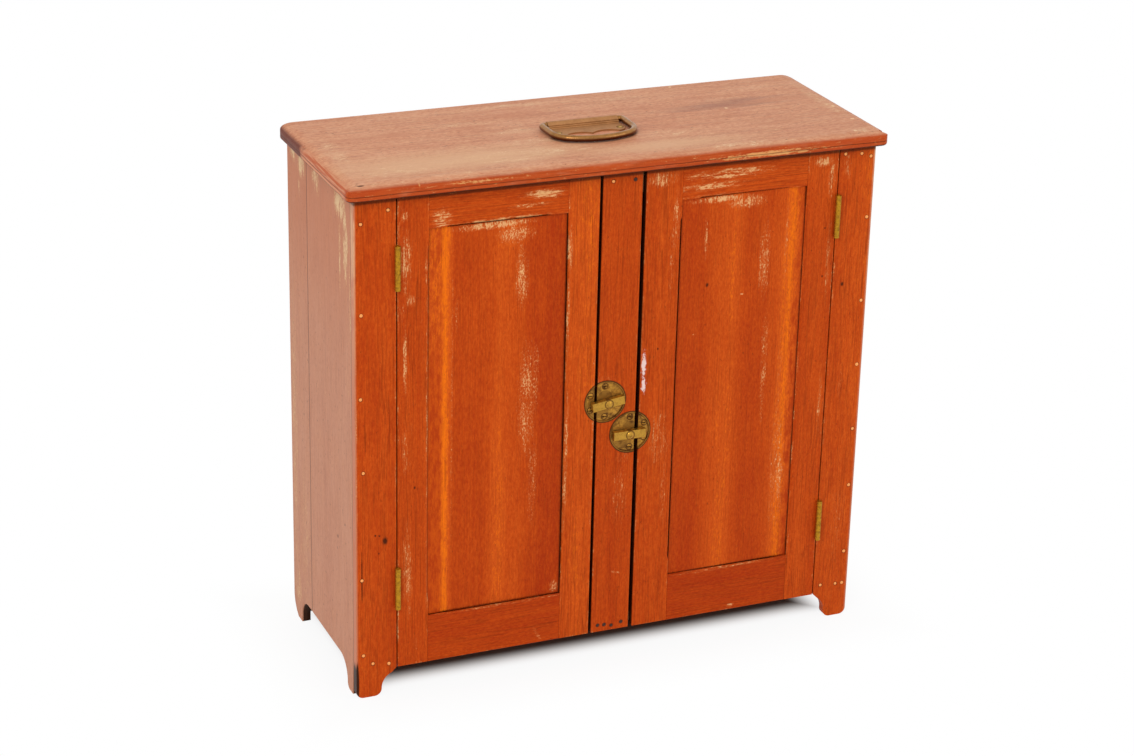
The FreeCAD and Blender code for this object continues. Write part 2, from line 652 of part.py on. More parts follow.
def make_centre_stile():
    """The stile between the doors, with seats for both latch plates."""
    body = new_body("centre_stile", ("centre_left", "face_plane", "front_rise"))
    face = rectangle(sketch_on(body, "XZ_Plane"), "0", "centre_stile_width",
                     "0", "carcass_height - front_rise")
    pad(body, face, "front_thickness", backward=True)
    for side, reach in (("left", "left_latch_inset"),
                        ("right", "centre_stile_width - right_latch_inset")):
        height = f"{side}_latch_height - front_rise"
        seat = circles(sketch_on(body, "XZ_Plane"), [(reach, height)],
                       "latch_radius + latch_fit")
        pocket(body, seat, "latch_let_in")
        away = "+" if side == "left" else "-"
        pivot = [(f"{reach} {away} pivot_offset", f"{height} - pivot_drop")]
        hole = circles(sketch_on(body, "XZ_Plane"), pivot, "pivot_radius + shank_play")
        pocket(body, hole, "latch_let_in + pivot_tail")
        screws = [(reach, f"{height} {sign} latch_screw_spread") for sign in "-+"]
        pilots = circles(sketch_on(body, "XZ_Plane"), screws, "screw_radius + shank_play")
        pocket(body, pilots, "dish_floor + screw_length")


def make_inner_boards():
    """The bottom board and the rail behind the tops of the doors."""
    inside = "left_outside + side_thickness"
    nodes.append(plain_board("bottom_board", "inner_width", "inner_depth",
                             "bottom_thickness", (inside, "behind_front", "bottom_height")))
    spot = (inside, "behind_front", "carcass_height - header_width")
    nodes.append(plain_board("header_rail", "inner_width", "header_thickness",
                             "header_width", spot))


def make_shelves():
    """Two shelves between the sides, each on a cleat at either end."""
    inside = "left_outside + side_thickness"
    front = "behind_front + shelf_setback"
    cleats = []
    for name in ("lower", "upper"):
        height = f"{name}_shelf_height"
        nodes.append(plain_board(f"{name}_shelf", "inner_width", "shelf_depth",
                                 "shelf_thickness", (inside, front, height)))
        for x in (inside, "right_outside - side_thickness - cleat_width"):
            spot = (x, f"{front} + cleat_setback", f"{height} - cleat_height")
            cleats.append(plain_board(f"{name}_cleat", "cleat_width",
                                      "shelf_depth - cleat_setback", "cleat_height", spot))
    group = doc.addObject("Part::Compound", "shelf_cleats")
    group.Links = cleats
    nodes.append(group)


def make_back():
    """Four upright back boards between the sides; the outer two stand on the floor."""
    inside = "left_outside + side_thickness"
    pitch = "(back_board_width + back_seam)"
    for side in ("left", "right"):
        sign = 1 if side == "left" else -1
        edge = inside if side == "left" else "right_outside - side_thickness"
        body = new_body(f"{side}_back_board", (edge, "back_front"))
        corners = (
            ("0", "0"),
            ("back_foot_width - foot_toe_radius", "0"),
            ("back_foot_width", "foot_toe_radius"),
            ("back_foot_width + foot_cove_radius", "front_rise"),
            ("back_board_width", "front_rise"),
            ("back_board_width", "carcass_height"),
            ("0", "carcass_height"),
        )
        arcs = {1: ("foot_toe_radius", "left"), 2: ("foot_cove_radius", "right")}
        face = outline(sketch_on(body, "XZ_Plane"), corners, arcs, sign)
        pad(body, face, "back_thickness", backward=True)
    for number, name in enumerate(("left", "right"), start=1):
        spot = (f"{inside} + {number} * {pitch}", "back_front", "front_rise")
        nodes.append(plain_board(f"middle_{name}_back_board", "back_board_width",
                                 "back_thickness", "carcass_height - front_rise", spot))


# --------------------------------------------------------------------------- doors

def door_values(side):
    """Placement, sign, width and stile widths of a door; x runs from its hinge edge."""
    sign = 1 if side == "left" else -1
    spot = (f"{side}_door_edge", "face_plane", "front_rise")
    return spot, sign, f"{side}_door_width", f"{side}_hinge_stile", f"{side}_lock_stile"


def make_door_stiles(side):
    """The upright members of a door, grooved on their inner edges."""
    spot, sign, width, hinge_width, lock_width = door_values(side)
    members = (
        ("hinge", "0", hinge_width, hinge_width, f"{hinge_width} - groove_depth"),
        ("lock", f"{width} - {lock_width}", width, f"{width} - {lock_width}",
         f"{width} - {lock_width} + groove_depth"),
    )
    for name, near, far, inner, groove_floor in members:
        body = new_body(f"{side}_door_{name}_stile", spot)
        face = rectangle(sketch_on(body, "XZ_Plane"), near, far, "0", "door_height", sign)
        pad(body, face, "door_thickness", backward=True)
        past = "+" if name == "hinge" else "-"
        groove = rectangle(sketch_on(body, "XY_Plane"), groove_floor,
                           f"{inner} {past} {SPARE}", "panel_recess", "groove_back", sign)
        pocket(body, groove, forward=True)
        toward = sign if name == "hinge" else -sign
        outward = Vector(toward, -1, 0).normalize()
        bevel_x = f"{inner} - arris_bevel / 2" if name == "hinge" else \
            f"{inner} + arris_bevel / 2"
        bevel_x = f"-({bevel_x})" if sign < 0 else bevel_x
        stopped_bevel(body, Z_AXIS, outward, (bevel_x, "arris_bevel / 2", "door_bottom_rail"),
                      "door_opening_height")
        if name == "hinge":
            cut_hinge_seats(body, "0", sign, "front_rise")
        else:
            cut_strike_seat(body, side, sign)


def latch_from_hinge(side):
    """The latch plate's centre measured from the door's hinge edge and underside."""
    reach = "left_latch_x - left_door_edge" if side == "left" else \
        "right_door_edge - right_latch_x"
    return reach, f"{side}_latch_height - front_rise"


def cut_strike_seat(body, side, sign):
    """The part of the latch plate's seat that lies in the door, and its screw holes."""
    reach, height = latch_from_hinge(side)
    seat = circles(sketch_on(body, "XZ_Plane"), [(reach, height)],
                   "latch_radius + latch_fit", sign)
    pocket(body, seat, "latch_let_in")
    screws = [(f"{reach} - strike_screw_reach", f"{height} {way} strike_screw_spread")
              for way in "-+"]
    pilots = circles(sketch_on(body, "XZ_Plane"), screws, "screw_radius + shank_play", sign)
    pocket(body, pilots, "dish_floor + screw_length")


def make_door_rails(side):
    """The level members of a door, with stub tenons that fill the stiles' grooves."""
    spot, sign, width, hinge_width, lock_width = door_values(side)
    rails = (("bottom", "0", "door_bottom_rail", 1),
             ("top", "door_height - door_top_rail", "door_height", -1))
    for name, low, high, inner_way in rails:
        body = new_body(f"{side}_door_{name}_rail", spot)
        face = rectangle(sketch_on(body, "XZ_Plane"), hinge_width,
                         f"{width} - {lock_width}", low, high, sign)
        pad(body, face, "door_thickness", backward=True)
        reach = "groove_depth - tenon_play"
        tenons = rectangle(sketch_on(body, "XZ_Plane", "-panel_recess"),
                           f"{hinge_width} - ({reach})", f"{width} - {lock_width} + {reach}",
                           low, high, sign)
        pad(body, tenons, "panel_thickness", backward=True)
        inner = high if inner_way > 0 else low
        away = "+" if inner_way > 0 else "-"
        back = "-" if inner_way > 0 else "+"
        groove = rectangle(sketch_on(body, "YZ_Plane"), "panel_recess", "groove_back",
                           f"{inner} {back} groove_depth", f"{inner} {away} {SPARE}")
        pocket(body, groove, forward=sign > 0)
        outward = Vector(0, -1, inner_way).normalize()
        start = hinge_width if sign > 0 else f"-({width} - {lock_width})"
        stopped_bevel(body, X_AXIS, outward,
                      (start, "arris_bevel / 2", f"{inner} {back} arris_bevel / 2"),
                      f"({width} - {hinge_width} - {lock_width})")


def make_door_panel(side):
    """A thin flat panel that floats in the grooves of its frame."""
    spot, sign, width, hinge_width, lock_width = door_values(side)
    body = new_body(f"{side}_door_panel", spot)
    reach = "(groove_depth - panel_play)"
    face = rectangle(sketch_on(body, "XZ_Plane", "-panel_recess"),
                     f"{hinge_width} - {reach}", f"{width} - {lock_width} + {reach}",
                     f"door_bottom_rail - {reach}",
                     f"door_bottom_rail - {reach} + panel_height", sign)
    pad(body, face, "panel_thickness", backward=True)


# --------------------------------------------------------------------------- hinges

def make_leaf(label, first_knuckle, knuckles, toward, spot):
    """One leaf of a butt hinge: its knuckles, their wraps and the plate they end in.

    The hinge axis is the body's Z axis, and toward is the side of it that the plate is on.
    """
    body = new_body(label, spot)
    plate = rectangle(sketch_on(body, "XY_Plane"), "leaf_gap / 2", "leaf_outer",
                      "leaf_start", "leaf_reach", toward)
    pad(body, plate, "hinge_height")
    base = f"{first_knuckle} * knuckle_pitch + knuckle_gap / 2"
    wrap = rectangle(sketch_on(body, "XY_Plane", base), "leaf_gap / 2", "leaf_outer",
                     "0", "leaf_start", toward)
    tongue = pad(body, wrap, "knuckle_length")
    ring = circles(sketch_on(body, "XY_Plane", base), [("0", "0")], "barrel_radius")
    knuckle = pad(body, ring, "knuckle_length")
    repeat(body, [tongue, knuckle], ring, "N_Axis",
           f"{(knuckles - 1) * 2} * knuckle_pitch", knuckles)
    bore = circles(sketch_on(body, "XY_Plane"), [("0", "0")], "hinge_pin_radius + pin_fit")
    pocket(body, bore, forward=True)


def make_hinge(side, level):
    """A butt hinge: a leaf on the stile, a leaf on the door and the pin between them."""
    door_way = 1 if side == "left" else -1
    name = f"{side}_{level}_hinge"
    spot = (f"{side}_hinge_x", "hinge_y", f"{level}_hinge_height")
    make_leaf(f"{name}_frame_leaf", 0, 3, -door_way, spot)
    make_leaf(f"{name}_door_leaf", 1, 2, door_way, spot)
    pin = new_body(f"{name}_pin", spot)
    disc = circles(sketch_on(pin, "XY_Plane", "-hinge_pin_tip"), [("0", "0")],
                   "hinge_pin_radius")
    pad(pin, disc, "hinge_height + 2 * hinge_pin_tip")


# -------------------------------------------------------------------------- latches

def latch_disc(body):
    """The round dished plate, turned about the axis through its centre."""
    profile = (
        ("0", "dish_floor"),
        ("latch_radius - rim_width", "dish_floor"),
        ("latch_radius - rim_width", "-rim_proud"),
        ("latch_radius", "-rim_proud"),
        ("latch_radius", "latch_let_in"),
        ("0", "latch_let_in"),
    )
    revolve(body, outline(sketch_on(body, "XY_Plane"), profile))


def trim_disc(body, edge, way):
    """Cuts off what lies past the edge: outward from the stile, or the other way."""
    far = f"latch_radius + {SPARE}"
    cut = rectangle(sketch_on(body, "XZ_Plane", "rim_proud"), edge,
                    far if way > 0 else f"-({far})", f"-({far})", far)
    pocket(body, cut)


def screw_holes(body, plane, offset, spots):
    """Countersunk holes in a metal plate."""
    sinks = circles(sketch_on(body, plane, offset), spots, "screw_head_radius + sink_play")
    pocket(body, sinks, "screw_sink", taper="-screw_taper")
    shanks = circles(sketch_on(body, plane, offset), spots, "screw_radius + shank_play")
    pocket(body, shanks)


def make_latch_plate(side):
    """The round plate of a latch: the main part on the centre stile, a strike on the door."""
    sign = "-" if side == "left" else ""
    way = -1 if side == "left" else 1
    spot = (f"{side}_latch_x", "face_plane", f"{side}_latch_height")
    plate = new_body(f"{side}_latch_plate", spot)
    latch_disc(plate)
    trim_disc(plate, f"{sign}{side}_latch_inset", way)
    pivot = [("pivot_offset" if side == "left" else "-pivot_offset", "-pivot_drop")]
    boss = circles(sketch_on(plate, "XZ_Plane", "-boss_face"), pivot, "boss_radius")
    pad(plate, boss, "boss_height", backward=True)
    bore = circles(sketch_on(plate, "XZ_Plane", "-boss_face"), pivot, "pivot_radius")
    pocket(plate, bore)
    spots = [("0", "-latch_screw_spread"), ("0", "latch_screw_spread")]
    screw_holes(plate, "XZ_Plane", "-dish_floor", spots)

    strike = new_body(f"{side}_latch_strike", spot)
    latch_disc(strike)
    trim_disc(strike, f"{sign}({side}_latch_inset + {side}_lock_gap)", -way)
    spots = [(f"{sign}strike_screw_reach", f"{end}strike_screw_spread") for end in ("-", "")]
    screw_holes(strike, "XZ_Plane", "-dish_floor", spots)


def make_turn_bar(side):
    """A flat bar that turns on a domed pivot and laps the door."""
    spot = (f"{side}_pivot_x", "face_plane", f"{side}_latch_height - pivot_drop")
    tilt = (Vector(0, -1, 0), "left_bar_tilt") if side == "left" else None
    bar = new_body(f"{side}_turn_bar", spot, tilt)
    face = rectangle(sketch_on(bar, "XZ_Plane", "-bar_front"), "-bar_length / 2",
                     "bar_length / 2", "-bar_width / 2", "bar_width / 2")
    pad(bar, face, "bar_thickness", backward=True)
    bevel_edges(bar, lambda edge: abs(edge.CenterOfMass.y - value("bar_front")) < 0.01,
                "bar_bevel")
    bore = circles(sketch_on(bar, "XZ_Plane", "-bar_front"), [("0", "0")],
                   "pivot_radius + pin_fit")
    pocket(bar, bore)

    pivot = new_body(f"{side}_turn_bar_pivot", spot)
    profile = (
        ("0", "pivot_head_back - pivot_head_height"),
        ("pivot_head_radius", "pivot_head_back"),
        ("pivot_radius", "pivot_head_back"),
        ("pivot_radius", "latch_let_in + pivot_tail"),
        ("0", "latch_let_in + pivot_tail"),
    )
    dome = {0: ("pivot_dome_radius", "left")}
    revolve(pivot, outline(sketch_on(pivot, "XY_Plane"), profile, dome))


# --------------------------------------------------------------------------- handle

def make_handle_plate():
    """The handle's plate, the reeded slope and the barrel that carries the bail."""
    body = new_body("handle_plate", ("handle_x", "handle_y", "board_top"))
    half = "handle_plate_width / 2"
    front = [(f"{half}", "0 - handle_plate_depth + lobe_radius"),
             (f"{half} - lobe_radius", "-handle_plate_depth")]
    corners = [(f"-{half}", "reed_pitch")]
    corners += [(f"-({x})", y) for x, y in front]
    corners += [("0", "-handle_plate_depth")]
    corners += [(x, y) for x, y in reversed(front)]
    corners += [(half, "reed_pitch")]
    arcs = {1: ("lobe_radius", "left"), 2: ("bow_radius", "right"),
            3: ("bow_radius", "right"), 4: ("lobe_radius", "left")}
    pad(body, outline(sketch_on(body, "XY_Plane"), corners, arcs), "handle_plate_thickness")
    slope = (("0", "handle_plate_thickness / 2"), ("0", "handle_barrel_radius"),
             ("-slope_top_reach", "slope_top_rise"),
             ("-slope_foot_reach", "handle_plate_thickness"),
             ("-slope_foot_reach", "handle_plate_thickness / 2"))
    pad(body, outline(sketch_on(body, "YZ_Plane", f"-{half}"), slope), "handle_plate_width")
    reeds = [(f"-(slope_top_reach + {step} * reed_pitch * cos(slope_lean))",
              f"slope_top_rise - {step} * reed_pitch * sin(slope_lean)") for step in (1, 2)]
    ribs = circles(sketch_on(body, "YZ_Plane", f"-{half}"), reeds, "reed_radius")
    pad(body, ribs, "handle_plate_width")
    axis = [("0", "handle_barrel_radius")]
    barrel = circles(sketch_on(body, "YZ_Plane", f"-{half}"), axis, "handle_barrel_radius")
    pad(body, barrel, "handle_plate_width")
    for offset, forward in ((f"-{half}", True), (half, False)):
        bore = circles(sketch_on(body, "YZ_Plane", offset), axis,
                       "bail_pivot_radius + pin_fit")
        pocket(body, bore, "bail_pivot_length + bail_end_gap", forward)
    spots = [(f"{sign}handle_screw_reach", "-handle_screw_depth") for sign in ("-", "")]
    screw_holes(body, "XY_Plane", "handle_plate_thickness", spots)


def make_handle_bail():
    """The bail: one round rod bent to a bow, with its ends turned in as pivots."""
    body = new_body("handle_bail", ("handle_x", "handle_y", "handle_z"))
    half = "bail_width / 2"
    end = "handle_plate_width / 2 + bail_end_gap"
    right = [
        (end, "0"),
        (f"{half} - bail_bend_radius", "0"),
        (half, "-bail_bend_radius"),
        (half, "-bail_side_end"),
        ("bail_bow_end", "-bail_bow_start"),
    ]
    left = [(f"-({x})", y) for x, y in right]
    bends = {1: ("bail_bend_radius", "left"), 3: ("bail_corner_radius", "left"),
             4: ("bail_bow_radius", "left"), 5: ("bail_corner_radius", "left"),
             7: ("bail_bend_radius", "left")}
    path = outline(sketch_on(body, "XY_Plane"), left + right[::-1], bends, closed=False)
    rod = circles(sketch_on(body, "YZ_Plane", f"-({end})"), [("0", "0")], "bail_radius")
    sweep = body.newObject("PartDesign::AdditivePipe", body.Name + "_rod")
    sweep.Profile = rod
    sweep.Spine = path
    for offset, forward in ((f"-({end})", False), (end, True)):
        pivot = circles(sketch_on(body, "YZ_Plane", offset), [("0", "0")],
                        "bail_pivot_radius")
        pad(body, pivot, "bail_pivot_length + bail_end_gap", backward=forward)


# --------------------------------------------------------------------------- screws

def make_screws():
    """The slotted countersunk screws of the latch plates, the strikes and the handle.

    The pattern lies along Y with the rim of its domed head at the origin.
    """
    pattern = new_body("plate_screw")
    profile = (("0", "-screw_head_rise"), ("screw_head_radius", "0"),
               ("screw_radius", "screw_sink"), ("screw_radius", "screw_length"),
               ("0", "screw_length"))
    dome = {0: ("screw_dome_radius", "left")}
    revolve(pattern, outline(sketch_on(pattern, "XY_Plane"), profile, dome))
    end = f"screw_head_radius + {SPARE}"
    slot = rectangle(sketch_on(pattern, "XZ_Plane", "screw_head_rise"), f"-({end})", end,
                     "-slot_width / 2", "slot_width / 2")
    pocket(pattern, slot, "screw_head_rise + slot_depth")
    y = "face_plane + dish_floor"
    plate = []
    for side, sign in (("left", "-"), ("right", "+")):
        height = f"{side}_latch_height"
        plate += [(f"{side}_latch_x", y, f"{height} {way} latch_screw_spread", None)
                  for way in "-+"]
        strike = [(f"{side}_latch_x {sign} strike_screw_reach", y,
                   f"{height} {way} strike_screw_spread", None) for way in "-+"]
        copies(f"{side}_strike_screws", pattern, strike)
    copies("latch_plate_screws", pattern, plate)
    down = (Vector(-1, 0, 0), "90")
    handle = [(f"handle_x {way} handle_screw_reach", "handle_y - handle_screw_depth",
               "board_top + handle_plate_thickness", down) for way in "-+"]
    copies("handle_screws", pattern, handle)


# ----------------------------------------------------------------------- whole model

def make_carcass():
    """Top board, sides, face frame, inner boards and back."""
    make_top_board()
    for side in ("left", "right"):
        make_side(side)
        make_outer_stile(side)
    make_centre_stile()
    make_inner_boards()
    make_shelves()
    make_back()


def make_doors():
    """Both doors with their hinges, latch plates and turn bars."""
    for side in ("left", "right"):
        make_door_stiles(side)
        make_door_rails(side)
        make_door_panel(side)
        for level in ("lower", "upper"):
            make_hinge(side, level)
        make_latch_plate(side)
        make_turn_bar(side)


def check_model():
    """Stops the build if an object failed or a cut took nothing off."""
    for thing in doc.Objects:
        if {"Invalid", "Error"} & set(thing.State):
            raise RuntimeError(f"{thing.Name}: {thing.State}")
    for node in nodes:
        if node.Shape.isNull() or not node.Shape.isValid():
            raise RuntimeError(f"{node.Name} has no valid shape")
    for cut in cuts:
        taken = cut.BaseFeature.Shape.Volume - cut.Shape.Volume
        if taken < 0.01:
            raise RuntimeError(f"{cut.Name} took {taken:.4f} cubic millimetres off")


def save_nodes():
    """Writes each node to its own file."""
    os.makedirs("parts", exist_ok=True)
    for node in nodes:
        node.Shape.exportStep(f"parts/{node.Label}.step")


sizes = make_sheet("Sizes", [(name, str(number), note) for name, number, note in SIZES])
places = make_sheet("Places", [(name, "=" + linked(formula, ""), note)
                               for name, formula, note in PLACES])
doc.recompute()
make_carcass()
make_doors()
make_handle_plate()
make_handle_bail()
make_screws()
doc.recompute()
check_model()
save_nodes()
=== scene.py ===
"""Jelly cupboard: its wood and brass finishes, its nails and hinge screws, and a plain stage.

The frame holds every board and fitting in metres. Sizes below are in millimetres of the same
axes: x to the cupboard's right, y to its back, z up from the floor.
"""

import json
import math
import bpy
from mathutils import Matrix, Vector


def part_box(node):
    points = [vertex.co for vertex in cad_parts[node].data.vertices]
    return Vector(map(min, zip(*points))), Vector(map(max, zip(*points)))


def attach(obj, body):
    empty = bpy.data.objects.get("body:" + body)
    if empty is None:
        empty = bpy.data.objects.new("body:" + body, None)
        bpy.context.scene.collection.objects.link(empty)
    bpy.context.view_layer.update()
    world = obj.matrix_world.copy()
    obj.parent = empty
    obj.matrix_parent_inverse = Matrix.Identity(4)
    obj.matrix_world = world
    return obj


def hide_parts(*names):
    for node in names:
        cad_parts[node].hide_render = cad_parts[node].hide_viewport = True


bl_info = {
    "name": "Jelly cupboard",
    "version": (1, 0, 0),
    "blender": (4, 5, 0),
    "location": "3D View > Sidebar > Cupboard",
    "description": "Finishes and small fastenings of a worn pine cupboard with brass fittings",
    "category": "Object",
}

from typing import NamedTuple

import bmesh
import bpy
import numpy as np
from bpy.props import FloatProperty, FloatVectorProperty, PointerProperty
from bpy.types import Operator, Panel, PropertyGroup

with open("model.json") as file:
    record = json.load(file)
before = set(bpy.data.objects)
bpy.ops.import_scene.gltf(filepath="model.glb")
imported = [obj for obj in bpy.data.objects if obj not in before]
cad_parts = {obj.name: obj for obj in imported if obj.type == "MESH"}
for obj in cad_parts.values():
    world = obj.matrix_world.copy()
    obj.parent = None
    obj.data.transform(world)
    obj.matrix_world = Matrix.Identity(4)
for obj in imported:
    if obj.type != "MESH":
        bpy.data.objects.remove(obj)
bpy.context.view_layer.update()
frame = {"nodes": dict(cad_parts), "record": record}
MM = 0.001


def corners_mm(node):
    """Lowest and highest corner of a frame node in millimetres."""
    low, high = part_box(node)
    return np.array(low) / MM, np.array(high) / MM


FACE = corners_mm("left_door_lock_stile")[0][1]
TOP = corners_mm("top_board")[1][2]


# ---------------------------------------------------------------- settings

def tint(name, note, red, green, blue):
    """A colour property whose default is given on the usual 0 to 255 scale."""
    scaled = [(c / 255 / 12.92) if c <= 10 else ((c / 255 + 0.055) / 1.055) ** 2.4
              for c in (red, green, blue)]
    return FloatVectorProperty(name=name, description=note, subtype="COLOR", size=3,
                               min=0, max=1, default=scaled)


def span(name, note, value):
    """A length property; the default is given in millimetres."""
    return FloatProperty(name=name, description=note, default=value * MM, min=0,
                         unit="LENGTH", subtype="DISTANCE", precision=4)


def watts(name, note, value):
    """A lamp's power."""
    return FloatProperty(name=name, description=note, default=value, min=0, unit="POWER")


class CupboardSizes(PropertyGroup):
    """Sizes of the small pieces and of the rounded edges."""
    edge_round: span("Edge rounding", "Rounding of the boards' edges", 0.6)
    corner_round: span("Corner rounding", "Rounding of the cupboard's outer corners", 1.8)
    nail_radius: span("Nail radius", "Head of a nail", 1.9)
    nail_height: span("Nail height", "Head of a nail above the wood", 0.45)
    hinge_screw_radius: span("Hinge screw radius", "Head of a hinge screw", 2.1)
    ring_pitch: span("Ring pitch", "Distance between two growth rings", 2.6)


class FrontWood(PropertyGroup):
    """Colours of the stained front."""
    deep: tint("Deep", "Darkest bands of the stain", 166, 50, 10)
    body: tint("Body", "Main colour of the stain", 188, 69, 14)
    light: tint("Light", "Lighter bands", 206, 85, 22)
    sap: tint("Sap", "Bright sapwood", 236, 112, 16)
    line: tint("Line", "Latewood lines", 128, 40, 6)
    haze: tint("Haze", "Stain worn thin", 210, 118, 60)
    bare: tint("Bare", "Stain worn through", 234, 182, 124)


class TopWood(PropertyGroup):
    """Colours of the top board: rubbed, and pale pink partly by a painted sheen."""
    deep: tint("Deep", "Darkest bands", 192, 118, 84)
    body: tint("Body", "Main colour", 214, 148, 112)
    light: tint("Light", "Lighter bands", 224, 166, 128)
    sap: tint("Sap", "Brightest bands", 230, 180, 144)
    line: tint("Line", "Latewood lines", 160, 98, 72)
    haze: tint("Haze", "Finish worn thin", 222, 172, 132)
    bare: tint("Bare", "Finish worn through", 242, 212, 172)


class SideWood(PropertyGroup):
    """Colours of the sides: rubbed, and pale pink partly by a painted sheen."""
    deep: tint("Deep", "Darkest bands", 180, 118, 92)
    body: tint("Body", "Main colour", 197, 136, 107)
    light: tint("Light", "Lighter bands", 205, 146, 116)
    sap: tint("Sap", "Brightest bands", 214, 158, 124)
    line: tint("Line", "Latewood lines", 164, 104, 80)
    haze: tint("Haze", "Finish worn thin", 214, 162, 120)
    bare: tint("Bare", "Finish worn through", 232, 200, 156)


class InnerWood(PropertyGroup):
    """Colours of the bare boards inside and at the back."""
    deep: tint("Deep", "Darkest bands", 150, 104, 66)
    body: tint("Body", "Main colour", 176, 128, 84)
    light: tint("Light", "Lighter bands", 192, 146, 100)
    sap: tint("Sap", "Brightest bands", 206, 164, 118)
    line: tint("Line", "Latewood lines", 122, 78, 46)
    haze: tint("Haze", "Rubbed wood", 200, 158, 112)
    bare: tint("Bare", "Freshly rubbed wood", 222, 188, 144)


class CupboardColours(PropertyGroup):
    """Colours of the metal, the dirt, the painted shade and the floor."""
    plate: tint("Latch plate", "Aged brass of the latch plates", 190, 136, 52)
    bar: tint("Turn bar", "Handled brass of the turn bars", 190, 142, 52)
    hinge: tint("Hinge", "Aged brass of the hinges", 188, 136, 28)
    screw: tint("Handle screw", "Handled brass of the handle's screws", 206, 164, 84)
    handle: tint("Bail", "Brown brass of the lifting bail", 166, 116, 62)
    # Its pale pinkish brown is partly a painted reflection of the wood and the white room.
    handle_plate: tint("Handle plate", "Rubbed brass of the handle's plate", 182, 130, 82)
    # Also paints shade: in screw slots, round the rims of plates and heads, and round the turn
    # bars' pivots.
    tarnish_and_shade: tint("Tarnish", "Dark film on the brass", 86, 48, 18)
    copper: tint("Nail", "Nail heads", 250, 164, 88)
    rust: tint("Rust", "Dark nail heads", 60, 34, 22)
    putty: tint("Putty", "Filled nails of the top board", 238, 196, 148)
    # Also paints shade, with the dirt, along the panels' grooves.
    dirt: tint("Dirt", "Dirt in seams and round nails", 58, 24, 12)
    # Near-black: painted shade in the gaps round the doors, in a crack, under the top board's nose
    # and low on the feet; also dark joints and a fine line along the nose.
    edge: tint("Edge", "Dark edges in the gaps round the doors", 34, 14, 8)
    paint: tint("Paint", "Pale paint rubbed off on a door", 232, 206, 200)
    blush: tint("Blush", "Redder stain high on the sides", 190, 112, 76)
    grime: tint("Grime", "Old dirt on the top board's left end", 96, 50, 44)
    # Painted shade with a painted reddish reflection of the wood on the bail's lower side, and the
    # painted shadow where the bail lies on the top board.
    reddish_shade: tint("Underside", "Brown film low on the bail", 84, 36, 18)
    rubbed: tint("Rubbed nose", "Golden wear on the top board's nose", 222, 162, 98)
    nose: tint("Nose", "Stain left on the top board's nose", 182, 70, 20)
    floor: tint("Floor", "Plain pale floor", 247, 246, 245)
    below: tint("Below", "Floor in the cupboard's own shade", 84, 52, 38)


class CupboardLight(PropertyGroup):
    """Levels of the lamps."""
    sky: FloatProperty(name="Sky", description="Light from all round", default=0.72, min=0, max=5)
    key: watts("Key lamp", "Large soft lamp in front, on the left", 34)
    fill: watts("Fill lamp", "Large soft lamp in front, on the right", 10)


def settings():
    """The cupboard's settings on the scene."""
    return bpy.context.scene.jelly_cupboard


# ---------------------------------------------------------------- wiring of finishes

class Value:
    """A number or a colour in a node tree. Sums and products of it are nodes as well."""
    __array_ufunc__ = None  # a numpy number on the left leaves the sum to this class

    def __init__(self, wiring, socket):
        self.wiring, self.socket = wiring, socket

    def __add__(self, other):
        return self.wiring.math("ADD", self, other)

    def __sub__(self, other):
        return self.wiring.math("SUBTRACT", self, other)

    def __rsub__(self, other):
        return self.wiring.math("SUBTRACT", other, self)

    def __mul__(self, other):
        return self.wiring.math("MULTIPLY", self, other)

    def __truediv__(self, other):
        return self.wiring.math("DIVIDE", self, other)

    def __abs__(self):
        return self.wiring.math("ABSOLUTE", self)

    def shake(self, noise, amount):
        """The number moved by a noise, up to half of `amount` either way."""
        return (noise - 0.5) * amount + self

    def rise(self, low, high, top=1):
        """Smooth step: 0 below low, top above high."""
        return self.fade(low, high, 0, top)

    def fall(self, low, high, top=1):
        """Smooth step: top below low, 0 above high."""
        return self.fade(low, high, top, 0)

    def fade(self, low, high, start, end):
        """Smooth step: start below low, end above high."""
        made = self.wiring.node("ShaderNodeMapRange", interpolation_type="SMOOTHSTEP")
        for socket, number in zip(made.inputs[:5], (self, low, high, start, end)):
            self.wiring.feed(socket, number)
        return Value(self.wiring, made.outputs[0])


def largest(first, *others):
    """The largest of several numbers."""
    for other in others:
        first = first.wiring.math("MAXIMUM", first, other)
    return first


def smallest(first, *others):
    """The smallest of several numbers."""
    for other in others:
        first = first.wiring.math("MINIMUM", first, other)
    return first


